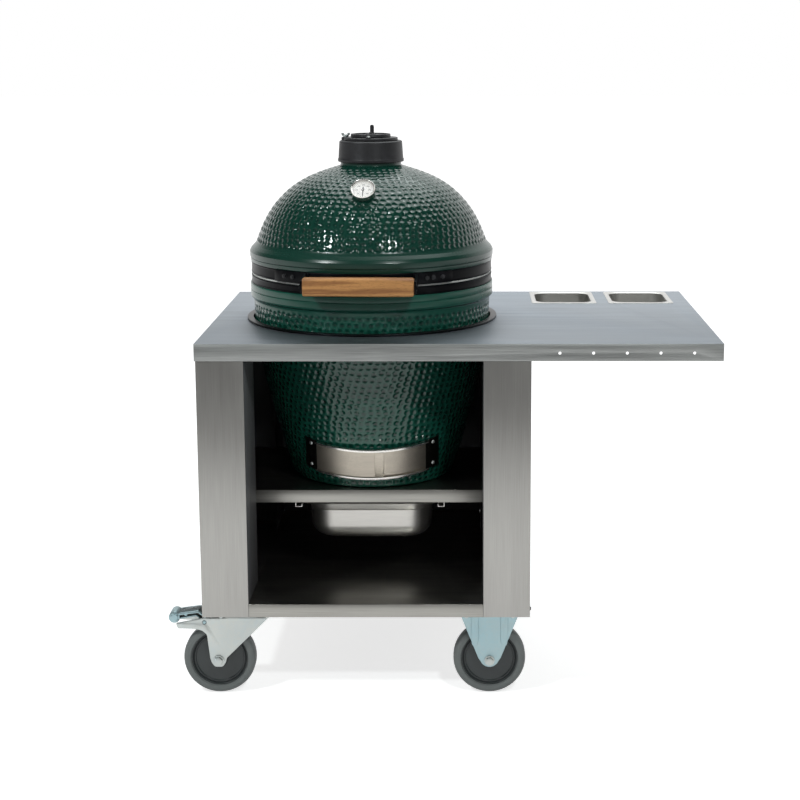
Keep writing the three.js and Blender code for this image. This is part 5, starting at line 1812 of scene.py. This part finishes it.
@dataclass
class Bands(Group):
    """The steel bands, the felt gasket, the trim ring and the band hinge."""

    seat: float = 281.8
    outer: float = 284.6

    def build(self) -> None:
        """Makes and dresses the bands."""
        at = self.datum.lid()
        table = [
            self.band("lower_band", 463.8, 482.2, at), self.gasket(at), self.trim_ring(),
            self.hinge_bracket("lower_hinge_bracket"), self.pin(), *self.springs(),
        ]
        lid = [self.band("upper_band", 487.4, 513.4, at), self.hinge_bracket("upper_hinge_bracket")]
        ride_all(table, "table")
        ride_all(lid, "lid")

    def band(self, node: str, low: float, high: float, at: Matrix) -> Piece:
        """A coated band with turned edges.

        Args:
            node: The CAD node that it replaces.
            low: Its lower edge.
            high: Its upper edge.
            at: The bands' frame.

        Returns:
            The band.
        """
        inner, outer = self.seat, self.outer
        section = rounded_loop([
            (inner, low, 0.3), (outer - 0.6, low, 0.6), (outer, low + 2.5, 1), (outer - 0.9, low + 4, 1),
            (outer - 0.9, high - 4, 1), (outer, high - 2.5, 1), (outer - 0.6, high, 0.6), (inner, high, 0.3),
        ], 0.5, 3)
        made = shade(turned(f"{node}_rolled", section, at, 240, True), 30.0)
        return stand_for(made, node, self.finishes.coat)

    def gasket(self, at: Matrix) -> Piece:
        """The felt gasket on the base's rim."""
        low, high = 482.8, 486.8
        section = rounded_loop([(258, low, 1), (283.4, low, 1.4), (283.4, high, 1.4), (258, high, 1)], 1, 3)
        made = shade(turned("rim_gasket_felt", section, at, 240, True), 50.0)
        return stand_for(made, "rim_gasket", self.finishes.felt)

    def trim_ring(self) -> Piece:
        """The dark ring that trims the worktop's hole."""
        low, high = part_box("hole_trim_ring")
        outer = 500 * (high.x - low.x)
        inner = outer - 14.5
        at = Matrix.Translation(((low.x + high.x) / 2, 0, low.z)) @ IN_MILLIMETRES
        section = rounded_loop([(inner, 0, 0.5), (outer, 0, 0.5), (outer, 4.9, 1.6), (inner, 4.9, 1.2)], 1, 4)
        made = shade(turned("hole_trim_ring_rolled", section, at, 240, True), 30.0)
        return stand_for(made, "hole_trim_ring", self.finishes.trim)

    def hinge_bracket(self, node: str) -> Piece:
        """A hinge bracket with rounded edges."""
        return dress(refined(node, f"{node}_bent", 0.9), self.finishes.coat)

    def pin(self) -> Piece:
        """The hinge pin with a groove at each end."""
        half = 96.0
        end = [
            (0, half), (4, half), (5, half - 2), (5, half - 3.5, 0.2), (4, half - 4, 0.2), (4, half - 5, 0.2),
            (5, half - 5.5, 0.2),
        ]
        outline = rounded(both_halves(end)[::-1], 0.6, 2)
        made = shade(turned("hinge_pin_turned", outline, self.along_pin(1) @ IN_MILLIMETRES, 32), 30.0)
        return stand_for(made, "hinge_pin", self.finishes.zinc)

    def along_pin(self, side: int) -> Matrix:
        """The frame at the middle of the hinge pin, its axis along Z towards one side."""
        turn = Matrix.Rotation(self.datum.lid_turn, 4, "Z") @ Matrix.Rotation(side * math.pi / 2, 4, "Y")
        return Matrix.Translation(middle_of("hinge_pin")) @ turn

    def springs(self) -> list[Piece]:
        """The two torsion springs on the hinge pin, wound by Geometry Nodes."""
        recipe = Recipe("wind_spring", ("Radius", "Height", "Turns", "Wire"))
        radius, height, turns, thick = (recipe.given(name) for name in recipe.keys)
        values = {"Rotations": turns, "Start Radius": radius, "End Radius": radius, "Height": height}
        coil = recipe.node("GeometryNodeCurveSpiral", {}, {"Resolution": 24, **values})
        wire = recipe.node("GeometryNodeCurvePrimitiveCircle", {}, {"Resolution": 10, "Radius": thick})
        tube = {"Curve": coil, "Profile Curve": wire, "Fill Caps": True}
        recipe.end(recipe.node("GeometryNodeCurveToMesh", {}, tube), self.finishes.zinc)
        made = []
        for word, side in HANDS.items():
            spring = poly_object(f"hinge_spring_{word}", [(0, 0, 0)], [], Matrix.Identity(4), False)
            recipe.run(spring, {"Radius": 7.4 * MM, "Height": 50 * MM, "Turns": 13.0, "Wire": 1.7 * MM})
            spring.data.transform(self.along_pin(side) @ Matrix.Translation((0, 0, 14 * MM)))
            made.append(shade(spring, 60.0))
        return made


@dataclass
class KamadoLid(Group):
    """The domed lid, with its handle and its thermometer."""

    foot: float = 487.1
    band_top: float = 513.7
    rim_radius: float = 286.8
    dome_rise: float = 44.0
    gauge_place: Point = (187.915, 125.33)
    gauge_lean: float = math.radians(44)
    handle_reach: float = 51.0
    handle_half: float = 122.5
    handle_depth: float = 27.0
    handle_height: float = 40.0

    def build(self) -> None:
        """Makes and dresses the lid."""
        at = self.datum.lid()
        dome_foot = self.band_top + self.dome_rise
        knots = [
            (271.8, 0), (264.4, 19.4), (253.1, 45.3), (236.8, 73.4), (214.8, 100.8), (187.9, 125.3),
            (156.4, 145.3), (123.4, 159.9), (94.7, 169.7), (77.5, 175.2),
        ]
        curve = [(r, h + dome_foot) for r, h in smooth_curve(knots, 10)]
        rows = DimpleRows("lid_dimples", curve, self.datum.axis_x)
        top = dome_foot + 175.5
        rim, low = self.rim_radius, self.band_top
        outline = rounded([
            (257.5, self.foot), (281.5, self.foot, 1.5), (281.5, low, 0.6), (rim - 1.6, low, 1.2),
            (rim - 1, low + 8.6, 0.4), (rim - 2.2, low + 9.6, 0.6), (rim + 0.2, low + 10.8, 1),
            (rim + 0.6, low + 23, 4), (rim - 3, low + 30, 6), (276, low + 38, 5), (272.6, low + 42.4),
        ], 1, 4)
        neck = [
            (75, top + 0.4), (71.5, top + 2, 2), (70.5, top + 27, 1.5), (52, top + 26.5, 2),
            (52, top - 20, 6),
        ]
        inside = [(r - 24, h + dome_foot - 12) for r, h in reversed(knots[1:-1])]
        outline += [*resampled(curve, 2.9), *rounded(neck, 1, 3), (62, top - 26), *inside]
        outline += [(257.5, low + 40), (257.5, low + 18)]
        shell = turned("egg_lid_ceramic", outline, at, 600, True)
        gauge = self.gauge_frame().translation
        rows.mark(shell, at, lambda spot: ((spot - gauge).length / MM - 24.0) / 3.0)
        rows.press(shell, DimpledGlaze("green_glaze_lid", rows).build(), DIMPLE_DEPTH)
        line_inside(shell, at @ Vector((0, 0, self.foot)), self.finishes.clay)
        boss = rounded([(0, -14), (27, -14), (24, -1, 3), (22.6, 3.7, 1.2), (0, 3.7)], 1)
        stand = shade(turned("gauge_boss", boss, self.gauge_frame(), 64))
        dress(stand, self.finishes.glaze)
        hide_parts("egg_lid")
        ride_all([shell, stand], "lid")
        self.handle(at)
        self.gauge()

    def gauge_frame(self) -> Matrix:
        """The thermometer's frame, its axis along Z and its foot on the dome."""
        radius, height = self.gauge_place
        place = Matrix.Translation((0, -radius, self.band_top + self.dome_rise + height))
        return self.datum.lid() @ place @ Matrix.Rotation(self.gauge_lean, 4, "X")

    def handle(self, at: Matrix) -> None:
        """The wooden handle, its two brackets and their bolts."""
        finishes, half = self.finishes, self.handle_half
        centre = -self.rim_radius - self.handle_reach + self.handle_depth / 2
        middle = self.foot - 16 + self.handle_height / 2
        loops = []
        ends = [(half, 3.4), (half - 1.2, 1.2), (half - 4, 0), (60, 0)]
        for x, inset in [*[(-x, inset) for x, inset in ends], (0, 0), *reversed(ends)]:
            bow = 1.2 * (1 - (x / half) ** 2)
            depth, height = self.handle_depth - 2 * inset, self.handle_height - 2 * inset + bow
            section = round_box(depth, height, 6.0 - min(inset, 3), 0)
            loops.append([(x, y + centre, z + middle) for y, z, _ in section])
        bar = shade(lofted("wood_handle_turned", loops, at), 35.0)
        pieces = [stand_for(bar, "wood_handle", finishes.wood)]
        for word in HANDS:
            node = f"handle_bracket_{word}"
            pieces.append(dress(refined(node, f"{node}_bent", 1.0), finishes.coat))
        places = [round_place(at, angle, 288.6, 501.5) for angle in (-37.3, -32.2, 30.3, 33.4, 38.3)]
        bolts = self.fasteners.set("band_bolts", self.heads.hex, places, 0.8)
        dress(bolts, finishes.iron)
        tips = []
        for side in SIDES:
            spot = at @ Vector((side * (half + 5.4), centre, middle))
            tips.append((spot, (at.to_3x3() @ Vector((side, 0, 0))).normalized()))
        end_bolts = self.fasteners.set("handle_bolts", self.heads.dome, tips, 1.1)
        dress(end_bolts, finishes.coat)
        ride_all([*pieces, bolts, end_bolts], "lid")

    def gauge(self) -> None:
        """The thermometer: its case, dial, marks, needle and glass."""
        at, finishes = self.gauge_frame(), self.finishes
        foot, outer, inner = 4.3, 27.8, 25.2
        face, level = foot + 8.02, foot + 8.14
        case = turned("thermometer_case_spun", rounded([
            (0, -85), (4.2, -85, 1), (4.2, foot, 0.5), (22, foot, 1), (outer - 1, foot + 3, 2),
            (outer, foot + 5, 1), (outer, foot + 13.5, 1.5), (outer - 1.2, foot + 15.9, 1),
            (inner, foot + 15.2, 0.6), (inner - 0.2, foot + 12, 0.2), (23.7, foot + 11.9, 0.2),
            (23.7, foot + 8, 0.2), (1, foot + 8, 0.1), (1, foot + 9.6, 0.1), (0, foot + 9.6),
        ], 0.5, 3), at, 96)
        stand_for(shade(case), "thermometer_case", finishes.bright)
        dial_section = [(23.6, face), (23.6, level), (1.3, level), (1.3, face)]
        dial = shade(turned("thermometer_dial", dial_section, at, 64, True))
        dress(dial, finishes.dial)
        pane = rounded([(0, foot + 12.4), (24.4, foot + 12.4), (24.4, foot + 14), (0, foot + 14.6)], 0.3)
        glass = shade(turned("thermometer_glass", pane, at, 64))
        stand_for(glass, "thermometer_lens", finishes.glass)
        needle_at = at @ Matrix.Translation((0, 0, foot + 8.5))
        pointer = [(-1.3, 6), (-0.5, -19), (0.5, -19), (1.3, 6), (0.9, 8), (-0.9, 8)]
        boss = rounded([(1.3, 0.1), (3, 0.1), (3, 1.1), (1.3, 1.1)], 0.3, 2)
        needle = joined("thermometer_pointer", [
            cut_sheet("pointer", pointer, [circle(0, 0, 1.25, 16)], 0, 0.6, needle_at),
            turned("boss", boss, needle_at, 24, True),
        ])
        stand_for(needle, "thermometer_needle", finishes.ink)
        ride_all([case, dial, self.marks(at, level), *self.numbers(at, level), glass], "lid")
        ride_all([needle], "gauge_needle")

    def marks(self, at: Matrix, level: float) -> Piece:
        """The dial's marks, set round it by Geometry Nodes."""
        recipe = Recipe("dial_marks", ("Radius", "Length", "Width"), Count="NodeSocketInt")
        radius, length, width, count = (recipe.given(name) for name in recipe.keys)
        size = {"Size": recipe.node("ShaderNodeCombineXYZ", {}, {0: length, 1: width, 2: width * 0.3})}
        mark = recipe.node("GeometryNodeMeshCube", {}, size)
        dots = recipe.node("GeometryNodeMeshCircle", {}, {"Vertices": count, "Radius": radius})
        out = {"Vector": recipe.node("GeometryNodeInputPosition")}
        turn = recipe.node("FunctionNodeAlignRotationToVector", {"axis": "X"}, out)
        values = {"Points": dots, "Instance": mark, "Rotation": turn}
        recipe.end(recipe.node("GeometryNodeInstanceOnPoints", {}, values), self.finishes.ink)
        parts = []
        for number, *sizes in ((56, 21.6, 1.6, 0.28), (14, 20.9, 3.0, 0.5)):
            ring = poly_object("marks", [(0, 0, 0)], [], Matrix.Identity(4), False)
            recipe.run(ring, dict(zip(recipe.keys, [*[size * MM for size in sizes], number])))
            ring.data.transform(at @ Matrix.Translation((0, 0, level)) @ Matrix.Scale(1 / MM, 4))
            parts.append(ring)
        piece = joined("thermometer_marks", parts)
        return piece

    def numbers(self, at: Matrix, level: float) -> list[Piece]:
        """Plain numbers on the dial."""
        radius, first, step = 14.6, 225, 45
        made = []
        for i, word in enumerate(("50", "100", "150", "200", "250", "300", "350")):
            turn = math.radians(first - step * i)
            name = f"dial_number_{word}"
            text = bpy.data.curves.new(name, "FONT")
            text.body = word
            text.size = 4.6
            text.align_x = "CENTER"
            text.align_y = "CENTER"
            text.extrude = 0.06
            mesh = spent(linked(name, text))
            spot = (radius * math.cos(turn), radius * math.sin(turn), level + 0.08)
            mesh.transform(at @ Matrix.Translation(spot))
            made.append(dress(linked(name, mesh), self.finishes.ink))
        return made


@dataclass
class VentCap(Group):
    """The cast cap on the neck: collar, swinging plate, slotted wheel and finger tab."""

    pivot: float = -59.0
    plate_radius: float = 63.5
    wheel_radius: float = 46.8
    hole_ring: float = 28.0
    hole: float = 9.0
    screw: float = -56.0

    def build(self) -> None:
        """Makes and dresses the cap."""
        at = self.datum.lid()
        low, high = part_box("cap_collar")
        foot, top = 1000 * (low.z - self.datum.foot), 1000 * (high.z - self.datum.foot)
        collar = turned("cap_collar_cast", rounded_loop([
            (71.0, foot, 1), (77, foot, 1.5), (77.6, foot + 2, 1), (77.6, foot + 6, 1.5),
            (76.2, foot + 8.2, 1.5), (74, top - 5, 2), (73.6, top - 2, 1), (71, top, 1), (52.5, top, 1),
            (52.5, foot + 17.4, 1), (71.0, foot + 17.4, 1),
        ], 1, 3), at, 144, True)
        stand_for(shade(collar), "cap_collar", self.finishes.iron)
        pin = dress(refined("cap_pivot_pin", "cap_pivot_pin_turned", 0.5), self.finishes.zinc)
        ride_all([collar, pin, self.wing(at, top)], "lid")
        self.plate(at, top)
        self.wheel(at, top)

    def wing(self, at: Matrix, top: float) -> Piece:
        """The wings of the pivot bolt."""
        half = [(-10, 3), (-11, 8), (-6, 9), (-3, 4)]
        outline = rounded_loop([*half, *[(-x, z) for x, z in reversed(half)], (3, -1), (-3, -1)], 2)
        place = Matrix.Translation((self.pivot, 0, top + 9)) @ Matrix.Rotation(math.radians(28), 4, "Z")
        wings = cut_sheet("pivot_bolt_wings", outline, [], -1.6, 1.6, at @ place @ UPRIGHT, 0.6)
        return dress(wings, self.finishes.zinc)

    def plate(self, at: Matrix, top: float) -> None:
        """The swinging plate with its ring of holes, its stud and its small screw."""
        foot, lug = top + 0.3, 10
        disc = [(x, y) for x, y in circle(0, 0, self.plate_radius, 96) if x > self.pivot + 2]
        disc.sort(key=lambda p: math.atan2(p[1], p[0]))
        turns = [math.radians(angle) for angle in range(110, 251, 10)]
        outline = [*disc, *[(self.pivot + lug * math.cos(t), lug * math.sin(t)) for t in turns]]
        holes = [circle(self.pivot, 0, 4.4, 24), *self.vent_holes(0)]
        stud = rounded([(0, foot + 4), (3.4, foot + 4), (3.4, foot + 18.6), (0, foot + 19)], 0.8)
        ear = rounded([(0, foot + 5), (6.5, foot + 5), (6.5, foot + 10), (0, foot + 10)], 1.0)
        made = joined("vent_plate_cast", [
            cut_sheet("disc", outline, holes, foot, foot + 7, at, 1.2),
            turned("stud", stud, at, 24),
            turned("ear", ear, at @ Matrix.Translation((0, self.screw, 0)), 24),
        ])
        stand_for(made, "vent_plate", self.finishes.iron)
        place = (at @ Vector((0, self.screw, foot + 10)), Vector((0, 0, 1)))
        screw = self.fasteners.set("vent_plate_screw", self.heads.dome, [place], 0.9)
        ride_all([made, screw], "cap_plate")

    def vent_holes(self, first: float) -> list[list[Point]]:
        """The ring of six round vent holes, the first at an angle in degrees."""
        turns = [math.radians(first + i * 60) for i in range(6)]
        ring = self.hole_ring
        return [circle(ring * math.cos(t), ring * math.sin(t), self.hole, 24) for t in turns]

    def wheel(self, at: Matrix, top: float) -> None:
        """The turning wheel with its vent holes and its finger tab."""
        foot, outer, bore = top + 7.6, self.wheel_radius, 3.9
        holes = [circle(0, 0, bore, 20), *self.vent_holes(30)]
        rim = [(39, foot + 4), (outer, foot + 4), (outer - 0.4, foot + 7.9), (40.5, foot + 7.9)]
        hub = [(bore, foot + 4), (12, foot + 4), (11, foot + 8), (bore, foot + 8)]
        tab = rounded_loop([(-4.7, 0), (-4.7, 19, 4.4), (4.7, 19, 4.4), (4.7, 0)], 0.5, 6)
        upright = at @ Matrix.Translation((0, 34.5, foot + 7.9)) @ UPRIGHT
        made = joined("vent_wheel_cast", [
            cut_sheet("wheel", circle(0, 0, outer, 96), holes, foot, foot + 5, at, 1.1),
            turned("rim", rounded_loop(rim, 1.2, 3), at, 96, True),
            turned("hub", rounded_loop(hub, 1, 3), at, 40, True),
            cut_sheet("tab", tab, [], -2.4, 2.4, upright, 1.0),
        ])
        ride_all([stand_for(made, "vent_wheel", self.finishes.iron)], "cap_wheel")


@dataclass
class Studio:
    """The camera, the floor and the light."""

    place: tuple[float, float, float] = (52.62, -3893.34, 1465.32)
    pitch: float = math.radians(9.6066)
    yaw: float = math.radians(-0.114)
    roll: float = math.radians(0.056)
    lens: float = 74.25
    shift: Point = (-0.075, -0.10)
    floor_glow: float = 0.72
    room_light: float = 0.05
    soft_light: float = 0.2

    def build(self) -> None:
        """Sets up the studio."""
        self.camera()
        self.floor()
        self.world()
        self.lamps()
        bpy.context.scene.view_settings.view_transform = "Standard"

    def camera(self) -> None:
        """The camera at the photograph's angle."""
        level = math.cos(self.pitch)
        ahead = Vector((math.sin(self.yaw) * level, math.cos(self.yaw) * level, -math.sin(self.pitch)))
        right = Vector((math.cos(self.yaw), -math.sin(self.yaw), 0))
        down = ahead.cross(right)
        side = right * math.cos(self.roll) + down * math.sin(self.roll)
        below = -right * math.sin(self.roll) + down * math.cos(self.roll)
        data = bpy.data.cameras.new("camera")
        data.sensor_width = 36
        data.lens = self.lens
        data.shift_x, data.shift_y = self.shift
        data.clip_end = 100
        made = linked("camera", data)
        turn = Matrix((side, -below, -ahead)).transposed().to_4x4()
        made.matrix_world = Matrix.Translation(Vector(self.place) * MM) @ turn
        bpy.context.scene.camera = made

    def floor(self) -> None:
        """A pale floor that shows white and keeps the shadow."""
        half = 40000.0
        points = [(-half, -half, 0), (half, -half, 0), (half, half, 0), (-half, half, 0)]
        floor = poly_object("floor", points, [(0, 1, 2, 3)], IN_MILLIMETRES, False)
        shader = Shader("floor_white")
        grey = shader.noise(2.0, 2.0)
        x, y = (shader.axis(shader.place, i) for i in (0, 1))
        near, far = y.ease(-6.0, -1.4), (x * x + y * y).ease(4.0, 40.0)
        strength = self.floor_glow + far * 0.3
        glow = shader.node("ShaderNodeEmission", {}, {"Color": WHITE, "Strength": strength})
        colour = shader.blend((0.68, 0.68, 0.68), (0.72, 0.72, 0.72), grey)
        dull = shader.node("ShaderNodeBsdfDiffuse", {}, {"Color": colour})
        both = shader.node("ShaderNodeAddShader", {}, {0: dull, 1: glow})
        surface = shader.node("ShaderNodeMixShader", {}, {0: self.seen(shader, near), 1: dull, 2: both})
        shader.node("ShaderNodeOutputMaterial", {}, {"Surface": surface})
        floor.data.materials.append(shader.material)

    def seen(self, wiring: Wiring, mirrored: Value) -> Signal:
        """How much a ray sees of the white surroundings.

        Args:
            wiring: The tree that asks.
            mirrored: What a mirrored ray sees of them.

        Returns:
            1 for a ray from the camera or through glass.
        """
        camera = wiring.node("ShaderNodeLightPath", out="Is Camera Ray")
        glossy = wiring.node("ShaderNodeLightPath", out="Is Glossy Ray")
        through = wiring.node("ShaderNodeLightPath", out="Is Transmission Ray")
        return (camera + glossy * mirrored + through).least(1.0)

    def world(self) -> None:
        """A white sweep behind and a dimmer room in front."""
        world = bpy.data.worlds.new("studio")
        world.use_nodes = True
        bpy.context.scene.world = world
        wiring = Wiring(world.node_tree)
        way = wiring.node("ShaderNodeTexCoord", out="Generated")
        aside, ahead = (wiring.axis(way, i) for i in (0, 1))
        behind = (ahead + aside * 0.25).ease(0.35, 0.85)
        low = wiring.axis(way, 2).ease(0.12, 0.32, 0.26, 0.0)
        room = (self.room_light + low + behind * (1.0 - self.room_light)).least(1.0)
        strength = self.seen(wiring, room) + (1.0 - self.seen(wiring, 1.0)) * self.soft_light
        back = wiring.node("ShaderNodeBackground", {}, {"Color": WHITE, "Strength": strength})
        wiring.node("ShaderNodeOutputWorld", {}, {"Surface": back})

    def lamps(self) -> None:
        """Two small front lamps for the glints and a large soft one overhead."""
        for name, place, aim, size, power in (
            ("key", (-2.35, -2.27, 3.1), (-0.16, 0.0, 0.9), 0.3, 48.0),
            ("fill", (1.1, -2.98, 3.1), (-0.1, 0.0, 0.8), 0.3, 42.0),
            ("top", (0.25, 1.5, 4.2), (0.25, 1.5, 0.0), 4.4, 130.0),
        ):
            data = bpy.data.lights.new(name, "AREA")
            data.shape = "DISK"
            data.size = size
            data.energy = power
            data.color = (0.95, 1.0, 1.0)
            lamp = linked(name, data)
            lamp.location = place
            lamp.rotation_euler = (Vector(place) - Vector(aim)).to_track_quat("Z", "Y").to_euler()


def main() -> None:
    """Builds the table in order."""
    logging.basicConfig(level=logging.INFO, format="%(name)s: %(message)s")
    finishes = Finishes()
    Studio().build()
    heads = Heads()
    shared = (finishes, heads, Fasteners(finishes.zinc), Datum.read())
    Cabinet(*shared).build()
    for word in HANDS:
        insert = SteelPan(f"insert_pan_{word}", 10.0, 7.0, 33.0, 14.0, 2.0, f"{word}_insert")
        insert.build(finishes.insert)
    SteelPan("drip_pan", 15.5, 30.0, 58.0, 34.0, 3.0, "drip_tray", 20.0, 2.4).build(finishes.pan)
    for group in (PanRails, Castors, KamadoBase, Bands, KamadoLid, VentCap):
        group(*shared).build()
    heads.put_away()


if __name__ == "__main__":
    main()
